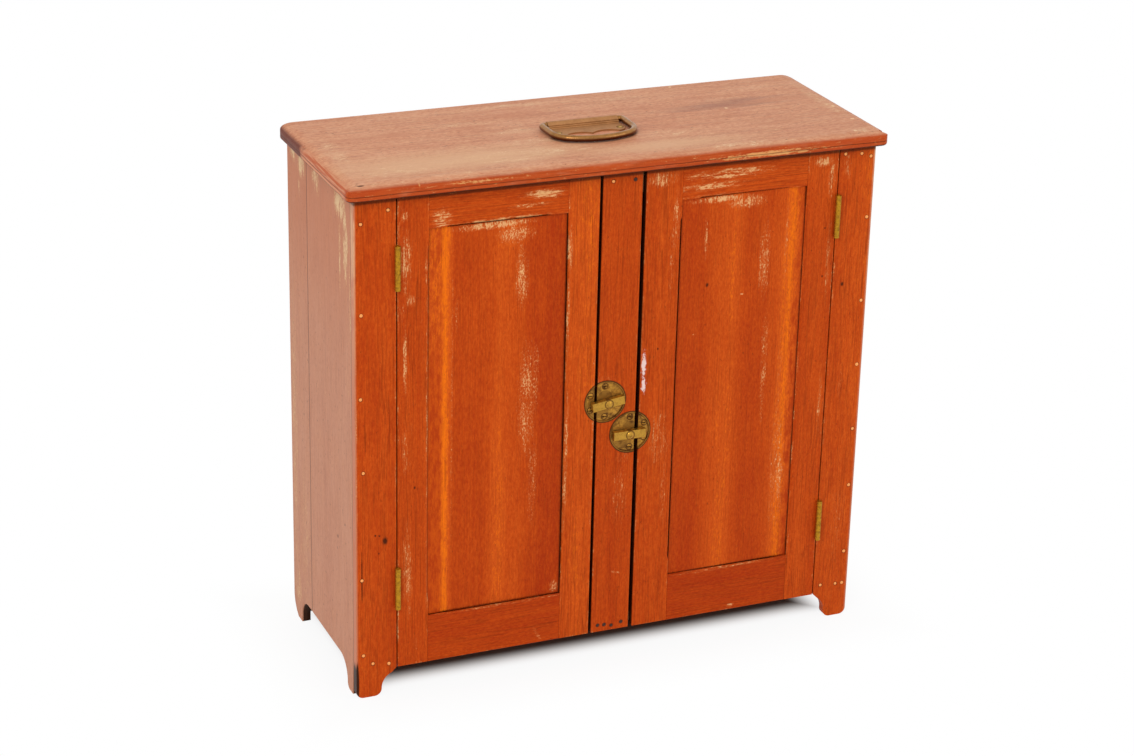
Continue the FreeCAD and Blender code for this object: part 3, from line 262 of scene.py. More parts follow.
class Wiring:
    """Adds nodes to one tree."""

    def __init__(self, tree):
        self.tree = tree

    def node(self, kind, **values):
        made = self.tree.nodes.new(kind)
        for name, value in values.items():
            setattr(made, name, value)
        return made

    def feed(self, socket, value):
        """Links a socket, or writes a number or a colour into it."""
        value = getattr(value, "socket", value)
        if isinstance(value, bpy.types.NodeSocket):
            self.tree.links.new(value, socket)
        elif socket.type == "RGBA":
            socket.default_value = (*value[:3], 1)
        else:
            socket.default_value = value

    def math(self, operation, *numbers):
        made = self.node("ShaderNodeMath", operation=operation)
        for socket, number in zip(made.inputs, numbers):
            self.feed(socket, number)
        return Value(self, made.outputs[0])

    def join(self, *numbers):
        """A vector from three numbers."""
        made = self.node("ShaderNodeCombineXYZ")
        for socket, number in zip(made.inputs, numbers):
            self.feed(socket, number)
        return made.outputs[0]

    def length(self, vector):
        made = self.node("ShaderNodeVectorMath", operation="LENGTH")
        self.feed(made.inputs[0], vector)
        return Value(self, made.outputs["Value"])

    def blend(self, factor, first, second):
        """First colour at factor 0, second at factor 1."""
        made = self.node("ShaderNodeMix", data_type="RGBA")
        for number, value in ((0, factor), (6, first), (7, second)):
            self.feed(made.inputs[number], value)
        return Value(self, made.outputs[2])

    def layers(self, colour, *coats):
        """A colour under coats of (amount, colour)."""
        for amount, coat in coats:
            colour = self.blend(amount, colour, coat)
        return colour

    def eye_rays(self):
        """1 for light on its way to the eye, straight or by gloss, and 0 for the rest."""
        path = self.node("ShaderNodeLightPath").outputs
        return largest(*(Value(self, path[f"Is {kind} Ray"])
                         for kind in ("Camera", "Glossy", "Transmission")))


class Finish(Wiring):
    """Wires one procedural material.

    `spot` is the surface's own place in millimetres, x, y and z its parts, and `grain` the
    place along which noises are laid. `colour` is the colour laid on so far.
    """

    def __init__(self, name):
        self.material = bpy.data.materials.new(name)
        self.material.use_nodes = True
        super().__init__(self.material.node_tree)
        self.shader = self.tree.nodes["Principled BSDF"]
        scaled = self.node("ShaderNodeVectorMath", operation="SCALE")
        self.feed(scaled.inputs[0], self.node("ShaderNodeTexCoord").outputs["Object"])
        self.feed(scaled.inputs["Scale"], 1 / MM)
        self.spot = self.grain = scaled.outputs["Vector"]
        parts = self.node("ShaderNodeSeparateXYZ")
        self.feed(parts.inputs[0], self.spot)
        self.x, self.y, self.z = (Value(self, part) for part in parts.outputs[:3])

    def coat(self, amount, colour):
        """Lays a colour over the finish by an amount from 0 to 1."""
        self.colour = self.blend(amount, self.colour, colour)

    def cloud(self, size, detail=2, roughness=0.5, shift=0, vector=None):
        """Noise whose blobs are about `size` millimetres, one number or one per axis.

        It is laid along the grain, if not on another vector.
        """
        sizes = size if isinstance(size, tuple) else (size,) * 3
        place = self.node("ShaderNodeMapping")
        self.feed(place.inputs["Vector"], vector or self.grain)
        place.inputs["Scale"].default_value = [1 / s for s in sizes]
        place.inputs["Location"].default_value = (shift, 1.7 * shift, -1.3 * shift)
        made = self.node("ShaderNodeTexNoise")
        self.feed(made.inputs["Vector"], place.outputs[0])
        for name, number in (("Scale", 1), ("Detail", detail), ("Roughness", roughness)):
            self.feed(made.inputs[name], number)
        return Value(self, made.outputs["Fac"])

    def steps(self, value, stops):
        """A number or a colour that follows `value` through stops of (position, value)."""
        ramp = self.node("ShaderNodeValToRGB")
        band = ramp.color_ramp
        while len(band.elements) < len(stops):
            band.elements.new(1)
        for element, (position, shade) in zip(band.elements, stops):
            element.position = position
            element.color = (*(shade[:3] if hasattr(shade, "__len__") else (shade,) * 3), 1)
        self.feed(ramp.inputs[0], value)
        return Value(self, ramp.outputs[0])

    def oval(self, centre, half, turn=(0, 0, 0)):
        """Distance from a turned oval's centre, 1 on its edge; centre and halves in mm."""
        place = self.node("ShaderNodeMapping", vector_type="TEXTURE")
        self.feed(place.inputs["Vector"], self.spot)
        place.inputs["Location"].default_value = centre
        place.inputs["Rotation"].default_value = turn
        place.inputs["Scale"].default_value = half
        return self.length(place.outputs[0])

    def close(self, rough, height, strength, depth, **others):
        """Feeds the shader and gives the material.

        The height is a number from 0 to 1 that stands for `depth` millimetres of relief.
        """
        bump = self.node("ShaderNodeBump")
        bump.inputs["Strength"].default_value = strength
        bump.inputs["Distance"].default_value = depth * MM
        self.feed(bump.inputs["Height"], height)
        for name, value in {"Base Color": self.colour, "Roughness": rough,
                            "Normal": bump.outputs[0], **others}.items():
            self.feed(self.shader.inputs[name], value)
        return self.material


# ---------------------------------------------------------------- wood

AXES = {"X": ("z", "y", "x"), "Y": ("z", "x", "y"), "Z": ("x", "y", "z")}
FLAT = 4000  # half size of an oval along the axis that it ignores, in millimetres
MARK_DEPTH = 0.84  # share of a board's thickness at which a mark on its face ends
GLOSS = {"Specular IOR Level": 0.1, "Specular Tint": (1, 0.72, 0.42)}


class Board(NamedTuple):
    """What one board looks like."""
    node: str
    grain: str  # the axis that its fibres follow
    seed: int  # picks the board's own piece of the pattern
    tones: tuple = ((0, 0.4), (1, 0.4))  # (share of the width, tone from 0, deep, to 1, sap)
    worn: tuple = ()  # rubbed ovals: (across, along, half across, half along, amount[, turn])
    knots: tuple = ()  # (across, along, radius)
    nails: tuple = ()  # (across, along)
    edges: float = 0.35  # how much its edges are rubbed
    flecks: float = 0.1  # how much of it is rubbed at random
    face: str = "y"  # the axis that its face looks along
    wobble: float = 0.05  # how much its tones sway across it
    rings: float = 0.5  # how dark its growth rings are
    coarse: float = 1  # how wide its fibres are, 1 for a fine board
    mottled: float = 1.1  # how much its tone changes from fibre to fibre
    dots: float = 0.45  # share of its wear that comes as dots, the rest as strokes


def gap_shade_edges(f, colour, node):
    """Painted shade on a front board's narrow edges in the gaps, from a millimetre behind the face
    inwards.
    """
    low, high = corners_mm(node)
    near = smallest(f.x - low[0], high[0] - f.x)
    edge = near.fall(0.1, 0.5) * f.y.rise(low[1] + 0.5, low[1] + 1.6)
    f.coat(edge * 0.93, colour)


def face_oval(f, board, one, two, half_one, half_two, tilt=0):
    """An oval on a board's face, given by the face's own two axes (x or y first).

    On a board that faces the front it fades out through the board's thickness, so the
    board's back keeps none of the marks.
    """
    if board.face == "y":
        low, high = corners_mm(board.node)
        deep = MARK_DEPTH * (high[1] - low[1])
        return f.oval((one, low[1], two), (half_one, deep, half_two), (0, tilt, 0))
    if board.face == "x":
        return f.oval((0, one, two), (FLAT, half_one, half_two), (tilt, 0, 0))
    return f.oval((one, two, 0), (half_one, half_two, FLAT), (0, 0, tilt))


def wood(board, stain, rough=0.42):
    """Straight-grained board.

    Growth rings are the distance from a tree axis that runs beside the board, bent by a long
    noise, taken modulo the ring pitch and sharpened into late wood. Fibres are noise drawn
    out along the grain. The tone across the board follows the board's own stops, and picks
    the stain's colour. Rubbing is a field of ovals and edges that lets fine flecks of bare
    wood through.
    """
    f = Finish(f"wood_{board.node}")
    f.rough, dirt = rough, settings().colours.dirt
    low, high = corners_mm(board.node)
    first, second, third = (getattr(f, axis) for axis in AXES[board.grain])
    wide, deep = ("xyz".index(axis) for axis in AXES[board.grain][:2])
    breadth = high[wide] - low[wide]
    f.grain = f.join(first + board.seed * 173, second + board.seed * 61, third + board.seed * 911)

    # Rings round a tree axis.
    rng = np.random.default_rng(board.seed)
    sway = f.cloud((90, 90, 420), 1)
    heart = (low[wide] + high[wide]) / 2 + rng.uniform(-1.6, 1.6) * breadth
    off_axis = first - (sway * 26 + heart)
    off_depth = second - low[deep] + rng.uniform(14, 60)
    radius = f.math("SQRT", off_axis * off_axis + off_depth * off_depth)
    bend = f.cloud((14, 14, 160)) * 16 + f.cloud((4, 4, 110), shift=13) * 7
    ring = f.math("FRACT", (radius + bend) / (settings().sizes.ring_pitch / MM))
    f.late = ring.rise(0.35, 0.86) * ring.fall(0.9, 1)

    # Fibres, streaks and wide bands: the noise and how much it moves the tone.
    coarse = board.coarse
    f.fibre = f.cloud((1.6 * coarse, 1.6 * coarse, 60), 4, 0.7)
    streak = f.cloud((5, 5, 190), 6, 0.66)
    across = (first - low[wide]) / breadth + (sway - 0.5) * (board.wobble * 2)
    tone = f.steps(across, board.tones)
    for field, weight in (
            (streak, 0.5), (f.cloud((26, 26, 380)), 0.42),
            (f.cloud((30, 30, 60), 3, 0.55, 31), 0.34),
            (f.cloud((2, 2, 5.5), 3, 0.7, 71), board.mottled)):
        tone = tone.shake(field, weight)
    f.colour = f.steps(tone, ((0, stain.deep), (0.36, stain.body), (0.68, stain.light),
                              (1, stain.sap)))
    lines = (f.late * streak.rise(0.38, 0.62, board.rings)
             + f.fibre.rise(0.47, 0.72, 0.2 + 0.84 * board.rings))
    f.coat(lines * 0.8, stain.line)

    # Dark pores and specks.
    speck = f.cloud((1.5 * coarse, 1.5 * coarse, 5), 3, 0.6, 7)
    f.coat(speck.rise(0.62, 0.76, 0.6), dirt)

    # Rubbing: ovals, the board's own edges and stray flecks.
    gap = smallest(*(side for n, place in enumerate((f.x, f.y, f.z)) if "xyz"[n] != board.face
                     for side in (place - low[n], high[n] - place)))
    f.patch = f.cloud((9, 9, 34), 3, 0.6, 3)
    fields = [gap.fall(0.3, 3.2) * f.patch.rise(0.42, 0.66, board.edges),
              f.patch.rise(0.5, 0.8) * board.flecks]
    for one, two, half_one, half_two, amount, *tilt in board.worn:
        reach = face_oval(f, board, one, two, half_one, half_two, *tilt)
        fields.append(reach.fall(0.25, 1.15) * amount)
    field = largest(*fields) * f.patch.fade(0.34, 0.56, 0.45, 1)
    f.grit = f.cloud((1.5, 1.5, 3), 4, 0.7, 17)
    f.scrape = f.cloud((1.8, 1.8, 15), 4, 0.7, 23)
    rub = field * 0.17 + (f.grit * board.dots + f.scrape * (1 - board.dots))
    worn = field.rise(0.02, 0.2)
    f.bare = rub.rise(0.62, 0.73) * worn
    f.coat(rub.rise(0.52, 0.68) * worn * 0.5, stain.haze)
    f.coat(f.bare * 0.8, stain.bare)

    # Knots and the dirt round nails.
    for one, two, size in board.knots:
        reach = face_oval(f, board, one, two, size, size * 1.5).shake(f.grit, 0.9)
        f.coat(reach.fall(0.35, 1.3, 0.92), dirt)
    for one, two in board.nails:
        f.coat(face_oval(f, board, one, two, 1, 1).fall(2, 3, 0.7), dirt)
    return f


def close_wood(f):
    """Colour, roughness and relief of a finished board."""
    rough = f.bare * 0.28 + ((f.patch - 0.5) * 0.22 + f.rough)
    relief = f.bare * -0.5 + (f.late * 0.5 + f.fibre * 0.6)
    return f.close(rough, relief, 0.5, 0.18, **GLOSS)


# ---------------------------------------------------------------- brass

def brass(name, body, film=0.35, rough=0.36, rings=(), grime=0, slot=None, shade=None,
          seen="y", lie=(9, 9, 0.35), scored=0.45):
    """Aged brass: cast mottling, a brown film in patches, dark rings, some of film and some of
    painted shade, and fine scratches.

    rings holds (x, z or y, inner radius, outer radius, darkness) dark bands, some of film and some
    of painted shade, seen along the axis `seen`. slot = (axis, place of the heads' faces, direction
    inwards) paints shade on what lies deeper than the faces. shade = (low, high) paints shade, with
    a reddish painted reflection of the wood, on the lower side.
    lie is the size of the scratches along x, y and z, scored how bright they are.
    """
    f = Finish(name)
    mottle = f.cloud(3.2, 4, 0.6)
    fine = f.cloud(0.7, 3, 0.6, 5)
    dark = mottle.rise(0.36, 0.7, film) + fine.rise(0.52, 0.75, 0.4 * film)
    for one, two, inner, outer, amount in rings:
        reach = (f.oval((one, 0, two), (1, FLAT, 1)) if seen == "y"
                 else f.oval((one, two, 0), (1, 1, FLAT)))
        band = reach.rise(inner - 0.5, inner + 0.2) * reach.fall(outer - 0.2, outer + 0.5)
        dark = largest(dark, band * amount)
    if grime:
        dark += f.cloud(11, shift=2).rise(0.45, 0.7, grime)
    if slot:
        axis, face, inward = slot
        dark = largest(dark, ((getattr(f, axis) - face) * inward).rise(0.48, 0.66))
    scratch = f.cloud(lie, shift=11).rise(0.5, 0.72, scored)
    f.colour = f.blend(scratch, body, [min(1, 1.28 * c) for c in body])
    f.coat(smallest(dark, 0.94), settings().colours.tarnish_and_shade)
    if shade:
        low, high = shade
        f.coat(f.z.fall(low + 0.3 * (high - low), low + 0.82 * (high - low), 0.95),
               settings().colours.reddish_shade)
    return f.close(dark * 0.3 + ((fine - 0.5) * 0.25 + rough), mottle + fine, 0.35, 0.12,
                   Metallic=0.82)


# ---------------------------------------------------------------- pieces

SHARP = math.radians(40)  # an edge that turns by more than this is eased
ORDER = (1, 17.31, 5.77)  # a slanted direction, which tells the points of a board apart
HEAD_SIDES = 20  # corners round a small head
HEAD_LEAN = 0.06  # largest slope of its rim


def put_on(node, material):
    """Gives a frame node its material."""
    data = frame["nodes"][node].data
    data.materials.clear()
    data.materials.append(material)


def body_of(node):
    """The body that a frame node belongs to."""
    for body, members in frame["record"]["behaviour"]["bodies"].items():
        if node in members:
            return body
    raise ValueError(f"{node} is on no body")


def slot_of(node):
    """The record's finish slot of a frame node."""
    return next(row["material_slot"] for row in frame["record"]["subparts"] if row["node"] == node)


def new_piece(name, data, material, body, slot):
    """Links a mesh as a piece on a body, with its place in the mesh."""
    piece = bpy.data.objects.new(name, data)
    bpy.context.scene.collection.objects.link(piece)
    data.materials.clear()
    data.materials.append(material)
    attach(piece, body)
    return piece


def round_off(built, edges, radius, segments):
    """Turns edges into arcs."""
    bmesh.ops.bevel(built, geom=edges, offset=radius, segments=segments, profile=0.5,
                    affect="EDGES", clamp_overlap=True)


def sharp_edges(built):
    """The edges where two faces meet sharply."""
    return [edge for edge in built.edges if len(edge.link_faces) == 2
            and edge.calc_face_angle(0) > SHARP]


def eased_board(node, material, corner=None):
    """Stands for a board, with its long sharp edges rounded.

    The board's own triangles are joined into flat faces. Each sharp edge that is longer than
    ten radii becomes an arc of the edge rounding; the edges at `corner` = (axis, place in
    mm, axis, place in mm) get the corner rounding.
    """
    sizes = settings().sizes
    built = bmesh.new()
    built.from_mesh(frame["nodes"][node].data)
    bmesh.ops.remove_doubles(built, verts=built.verts, dist=2e-6)
    bmesh.ops.dissolve_limit(built, angle_limit=math.radians(0.4), verts=built.verts[:],
                             edges=built.edges[:])
    if corner:
        axis_a, place_a, axis_b, place_b = corner
        heavy = [edge for edge in sharp_edges(built)
                 if all(abs(end.co[axis_a] / MM - place_a) < 0.05
                        and abs(end.co[axis_b] / MM - place_b) < 0.05 for end in edge.verts)]
        if heavy:
            round_off(built, heavy, sizes.corner_round, 5)
    round_off(built, [edge for edge in sharp_edges(built)
                      if edge.calc_length() > 10 * sizes.edge_round], sizes.edge_round, 2)
    # Arcs come in an order that varies, so points and faces are put in that of their places.
    built.verts.sort(key=lambda corner: corner.co.dot(ORDER))
    built.faces.sort(key=lambda face: face.calc_center_median().dot(ORDER))
    for face in built.faces:
        face.smooth = True
    for edge in built.edges:
        edge.smooth = len(edge.link_faces) == 2 and edge.calc_face_angle(0) < math.radians(35)
    data = bpy.data.meshes.new(f"{node}_wood")
    built.to_mesh(data)
    built.free()
    piece = new_piece(f"{node}_wood", data, material, body_of(node), slot_of(node))
    piece.modifiers.new("Even shading", "WEIGHTED_NORMAL").keep_sharp = True
    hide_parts(node)


def turned_heads(name, places, profile, axis, material, body, slot, seed):
    """Many small round heads in one mesh.

    A head is its profile (radius, height) turned round its axis, on a grid of profile
    points by sides. Each head is scaled by up to 8 percent and its rim leans a little. The
    first profile point lies on the axis, the last one is sunk in the wood. The axis is 1, 2
    or 3 for x, y or z, and negative for heads that face the other way.
    """
    rng = np.random.default_rng(seed)
    places, profile = np.asarray(places, float), np.asarray(profile, float)
    count, rings = len(places), len(profile)
    turn = np.linspace(0, 2 * math.pi, HEAD_SIDES, endpoint=False)
    size = rng.uniform(0.92, 1.08, count)
    lean = rng.uniform(-HEAD_LEAN, HEAD_LEAN, (count, 2))[:, None, None]
    ring = np.stack([np.cos(turn), np.sin(turn)], -1)
    flat = profile[None, :, 0, None, None] * size[:, None, None, None] * ring
    high = profile[None, :, 1, None] + flat[..., 0] * lean[..., 0] + flat[..., 1] * lean[..., 1]
    normal = abs(axis) - 1
    grid = np.tile(places[:, None, None], (1, rings, HEAD_SIDES, 1))
    grid[..., [number for number in range(3) if number != normal]] += flat
    grid[..., normal] += math.copysign(1, axis) * high
    points = np.concatenate([grid[:, 1:].reshape(-1, 3), grid[:, 0, 0]]) * MM

    here = np.arange(HEAD_SIDES)
    after = (here + 1) % HEAD_SIDES
    head = (rings - 1) * HEAD_SIDES
    first = np.arange(count)[:, None, None] * head
    row = np.arange(rings - 2)[:, None] * HEAD_SIDES
    quads = np.stack([row + here, row + HEAD_SIDES + here, row + HEAD_SIDES + after,
                      row + after], -1).reshape(-1, 4) + first
    tips = count * head + np.arange(count)[:, None]
    fans = np.stack(np.broadcast_arrays(here + first[:, 0], after + first[:, 0], tips), -1)
    faces = quads.reshape(-1, 4).tolist() + fans.reshape(-1, 3).tolist()
    data = bpy.data.meshes.new(name)
    data.from_pydata(points.tolist(), [], faces)
    data.polygons.foreach_set("use_smooth", np.ones(len(faces), bool))
    built = bmesh.new()
    built.from_mesh(data)
    bmesh.ops.recalc_face_normals(built, faces=built.faces)
    built.to_mesh(data)
    built.free()
    new_piece(name, data, material, body, slot)


# ---------------------------------------------------------------- boards and where they are worn

LEFT_EDGE = corners_mm("left_stile")[0][0]


def from_left(places):
    """(from the cupboard's left edge, height) pairs as (x, z)."""
    return [(LEFT_EDGE + x, z) for x, z in places]


LEFT_NAILS = from_left([(37.8, 565.4), (7.8, 552.9), (7.8, 452.2), (6.6, 357.3), (9.2, 271.7),
                        (7, 144.3), (8.2, 52.3), (19.1, 40.6), (37.7, 37.6)])
RIGHT_NAILS = from_left([(569.8, 571.8), (590, 570.5), (601.6, 566.4), (601.3, 495.3), (601.2, 396),
                         (601.3, 318.1), (601.2, 238.3), (601.2, 167.2), (600.6, 82.1),
                         (572.3, 42.4), (591.9, 41.2), (600.6, 41.1)])
CENTRE_NAILS = from_left([(291.3, 569.6)])
CENTRE_DARK = from_left([(317, 569.2), (288, 40.1), (296, 39.7), (304.8, 37.5), (316.8, 39.9)])
TOP_NAILS = [(LEFT_EDGE + x, FACE + y) for x, y in
             ((602, 95.1), (599.9, 44.9), (581.6, 4), (483.2, 126.4), (456.9, 222))]

FRONT_BOARDS = (
    Board("left_stile", "Z", 1, ((0, 0.42), (0.35, 0.34), (0.7, 0.44), (1, 0.36)),
          knots=((-270, 188, 3.4), (-276.5, 195, 1), (-281, 196, 1.1), (-277, 174, 0.9)),
          nails=LEFT_NAILS, edges=0.5, worn=((-303, 300, 3, 300, 0.55),)),
    Board("centre_stile", "Z", 2, ((0, 0.36), (0.5, 0.3), (1, 0.4)),
          nails=CENTRE_NAILS + CENTRE_DARK, edges=0.3,
          worn=((4.1, 104.2, 7, 2, 0.9, 0.3), (-14, 341, 14, 7, 0.4), (8, 245, 14, 10, 0.35),
                (6, 200, 12, 50, 0.35))),
    Board("right_stile", "Z", 3, ((0, 0.42), (0.6, 0.52), (1, 0.58)),
          knots=((272, 418.6, 1.8),), nails=RIGHT_NAILS, edges=0.5,
          worn=((269.5, 558, 6, 22, 0.55), (277.4, 301.4, 5, 24.9, 0.35), (285, 120, 14, 60, 0.3))),
    Board("left_door_hinge_stile", "Z", 4, ((0, 0.3), (0.5, 0.34), (0.8, 0.42), (1, 0.5)),
          edges=0.75, flecks=0.35, knots=((-236, 246, 1.3),),
          worn=((-246.1, 506.1, 9, 40, 0.85), (-240.5, 462, 8, 8, 0.8),
                (-247.2, 396.2, 3.2, 46, 0.95), (-247.1, 290, 4.4, 30, 0.75),
                (-247.2, 556, 6, 7, 0.8), (-244, 150, 7, 70, 0.7), (-222.8, 500, 2.6, 30, 0.9),
                (-222.5, 300, 1.4, 260, 0.7))),
    Board("left_door_top_rail", "X", 5, ((0, 0.34), (0.5, 0.4), (1, 0.34)), edges=0.5,
          worn=((-91, 564, 32, 7, 1.1), (-106, 553.6, 30, 4, 0.7), (-206, 550, 14, 15, 0.95),
                (-136, 541, 74, 3.2, 1.1))),
    Board("left_door_bottom_rail", "X", 6, ((0, 0.26), (0.5, 0.24), (1, 0.2)), edges=0.35,
          worn=((-135, 87.5, 90, 2.4, 0.6), (-90, 43, 3, 11, 0.95, -0.5))),
    Board("left_door_lock_stile", "Z", 7, ((0, 0.46), (0.5, 0.66), (1, 0.6)), edges=0.55,
          worn=((-60.5, 500, 4.2, 34, 1.05), (-61, 420, 2.4, 60, 0.8), (-60, 250, 3.2, 110, 0.75),
                (-29, 250, 2, 160, 0.5))),
    Board("right_door_hinge_stile", "Z", 8, ((0, 0.36), (0.5, 0.46), (1, 0.4)), edges=0.55,
          knots=((246, 431, 1), (246, 488, 1)),
          worn=((240, 566, 16, 7, 1), (251, 545, 5, 26, 0.75), (252, 450, 3.4, 60, 0.6),
                (252, 280, 3, 60, 0.6))),
    Board("right_door_top_rail", "X", 9, ((0, 0.36), (0.5, 0.42), (1, 0.36)), edges=0.6,
          worn=((125, 564.5, 64, 7, 1.25), (104, 552, 56, 6, 1), (112, 541, 40, 2.6, 0.7))),
    Board("right_door_bottom_rail", "X", 10, ((0, 0.24), (0.5, 0.2), (1, 0.16)), edges=0.35,
          worn=((136.3, 87.5, 80, 2.4, 0.6), (151.6, 37, 6, 3, 1))),
    Board("right_door_lock_stile", "Z", 11, ((0, 0.36), (0.4, 0.44), (1, 0.5)), edges=0.5,
          knots=((47, 370, 1.1),),
          worn=((46, 566, 24, 11, 1.1), (64, 520, 5, 40, 0.7), (60, 470, 4, 50, 0.4),
                (52, 262, 15, 40, 0.55), (60, 200, 5, 60, 0.4))),
)

PANELS = (
    Board("left_door_panel", "Z", 12,
          ((0, 0.78), (0.07, 0.8), (0.115, 0.76), (0.14, 0.98), (0.16, 0.86), (0.205, 0.31),
           (0.4, 0.28), (0.52, 0.6), (0.62, 0.52), (0.74, 0.26), (0.86, 0.14), (1, 0.16)),
          edges=0.2, wobble=0.03, rings=0.25, dots=0.7,
          worn=((-148, 535, 54, 6, 1.25), (-122, 522, 26, 12, 0.9), (-114, 474, 9, 42, 0.95),
                (-106.5, 329.9, 13, 80, 0.75), (-97, 352, 6, 52, 0.55), (-98, 230, 7, 60, 0.5),
                (-188, 440, 3, 24, 0.45), (-70, 98, 7, 9, 0.8), (-193, 330, 1.6, 230, 0.45))),
    Board("right_door_panel", "Z", 13,
          ((0, 0.22), (0.2, 0.24), (0.33, 0.5), (0.45, 0.62), (0.55, 0.34), (0.7, 0.3),
           (0.8, 0.5), (0.88, 0.92), (0.94, 0.62), (1, 0.3)),
          edges=0.2, wobble=0.03, rings=0.25, dots=0.6, knots=((105, 436.8, 1.9),),
          worn=((114, 535, 44, 5, 1.25), (150, 529, 30, 10, 0.9), (101.4, 489.6, 2.6, 30, 0.7),
                (148.6, 420.9, 3, 1.2, 1.3), (173.8, 460, 8, 56, 0.82), (200, 472.4, 3, 50, 0.6),
                (180, 331.5, 5, 75, 0.72), (200, 300, 4, 90, 0.5), (203, 198.7, 12, 86, 0.75),
                (92, 380, 3, 1.2, 0.9))),
)


TOP_BOARD = Board(
    "top_board", "X", 21, face="z", edges=0.5, flecks=0.7, rings=0.3, mottled=1.7, dots=0.55,
    tones=((0, 0.5), (1, 0.4)),
    worn=((-117, -68, 150, 30, 0.95), (-242, -78, 60, 34, 0.8), (-67, -28, 70, 14, 0.85),
          (-47, 103, 60, 9, 0.9), (143, -108, 80, 10, 0.8), (288, -104, 14, 10, 1),
          (-77, 12, 40, 12, 0.8), (297, 12, 12, 90, 0.7), (-127, 52, 60, 12, 0.7),
          (83, 92, 40, 8, 0.8), (-287, 2, 14, 80, 0.7), (73, -48, 60, 16, 0.6)), coarse=2.2)

SIDE_FRONT = corners_mm("left_side_front_board")[0][1]
SIDES = tuple(Board(node, "Z", seed, ((0, 0.44), (1, 0.4)), worn, knots, face="x", edges=0.3,
                    flecks=0.3, rings=0.3, coarse=2.2) for node, seed, worn, knots in (
    ("left_side_front_board", 31,
     ((SIDE_FRONT + 2, 480, 5, 110, 0.95), (SIDE_FRONT + 1, 200, 2.4, 200, 0.6),
      (-31, 579, 100, 11, 1.7), (-62, 562, 26, 26, 1.4), (18, 566, 20, 26, 1),
      (-80, 525, 12, 62, 1.3), (-62, 505, 5, 52, 1.1)),
     ((-46.4, 171.9, 1.6), (-71.5, 196.5, 1.2))),
    ("left_side_back_board", 32,
     ((70, 566, 18, 26, 1.35), (92, 572, 26, 16, 1.45), (78, 535, 5, 16, 1.1),
      (108, 230, 15, 230, 0.7), (72, 120, 24, 120, 0.45), (104, 40, 16, 30, 0.9)), ()),
    ("right_side_front_board", 33,
     ((SIDE_FRONT + 2, 480, 5, 110, 0.9), (-31, 577, 60, 12, 0.9)),
     ((-12, 300, 1.8),)),
    ("right_side_back_board", 34, ((88, 566, 20, 24, 0.8),), ())))


def latch_rounds():
    """Centre x, centre z and radius of the two round latch plates."""
    found = []
    for side in ("left", "right"):
        plate, strike = corners_mm(f"{side}_latch_plate"), corners_mm(f"{side}_latch_strike")
        low, high = np.minimum(plate[0], strike[0]), np.maximum(plate[1], strike[1])
        radius = (high[2] - low[2]) / 2
        x = high[0] - radius if side == "right" else low[0] + radius
        found.append((x, (low[2] + high[2]) / 2, radius))
    return found


# ---------------------------------------------------------------- operators

class CUPBOARD_OT_front(Operator):
    """Stains the face frame and the door frames and rounds their worn edges"""
    bl_idname = "cupboard.front"
    bl_label = "Face frame and door frames"

    def execute(self, context):
        stain, side, colours = settings().front, settings().side, settings().colours
        for board in FRONT_BOARDS:
            f = wood(board, stain)
            low, high = corners_mm(board.node)
            corner = None
            if board.node in ("left_stile", "right_stile"):
                edge = low[0] if board.node == "left_stile" else high[0]
                corner = (0, edge, 1, low[1])
                # The stile's rounded edge takes the side's colours: rubbed pale, and pinkish with
                # the side's painted sheen.
                high_up = f.z.rise(330, 560, 0.75) * f.patch.rise(0.35, 0.6)
                rubbed = f.layers(side.body, (high_up, side.bare), (f.fibre * 0.5, stain.light))
                f.coat(abs(f.x - edge).fall(0.2, 2.8, 0.9), rubbed)
                if board.node == "left_stile":
                    # Painted shade in a crack through one nail, and in the joint that has opened
                    # along the side at the foot.
                    crack = f.oval((LEFT_EDGE + 6.9, 0, 146), (0.7, FLAT, 36))
                    wedge = f.oval((LEFT_EDGE + 1, 0, 17), (2.2, FLAT, 32))
                    crack = smallest(crack.shake(f.scrape, 1.6), wedge)
                    f.coat(crack.fall(0.7, 1, 0.95), colours.edge)
                f.coat(f.y.rise(high[1] - 0.5, high[1] - 0.1) * 0.9, colours.edge)
            elif board.node.endswith("stile"):
                gap_shade_edges(f, colours.edge, board.node)
            if board.node in ("centre_stile", "left_door_lock_stile", "right_door_lock_stile"):
                for x, z, radius in latch_rounds():
                    # A dark ring on the wood just round each latch plate.
                    ring = face_oval(f, board, x, z, radius, radius).shake(f.grit, 0.05)
                    f.coat(ring.fall(1, 1.035, 0.6), colours.dirt)
            if board.node == "right_door_lock_stile":
                # Pale paint, rubbed off on the face only.
                scuff = smallest(face_oval(f, board, 30.6, 352, 2.6, 16),
                                 face_oval(f, board, 31.4, 328, 2.6, 9)).shake(f.grit, 3.4)
                on_face = f.y.fall(low[1] + 2, low[1] + 4, 0.95)
                f.coat(on_face * scuff.fall(0.7, 1), colours.paint)
            # Painted shadow under the top board's nose, along the top of each front board.
            f.coat(f.z.rise(572.6, 575.2, 0.7), colours.edge)
            eased_board(board.node, close_wood(f), corner)
        return {"FINISHED"}


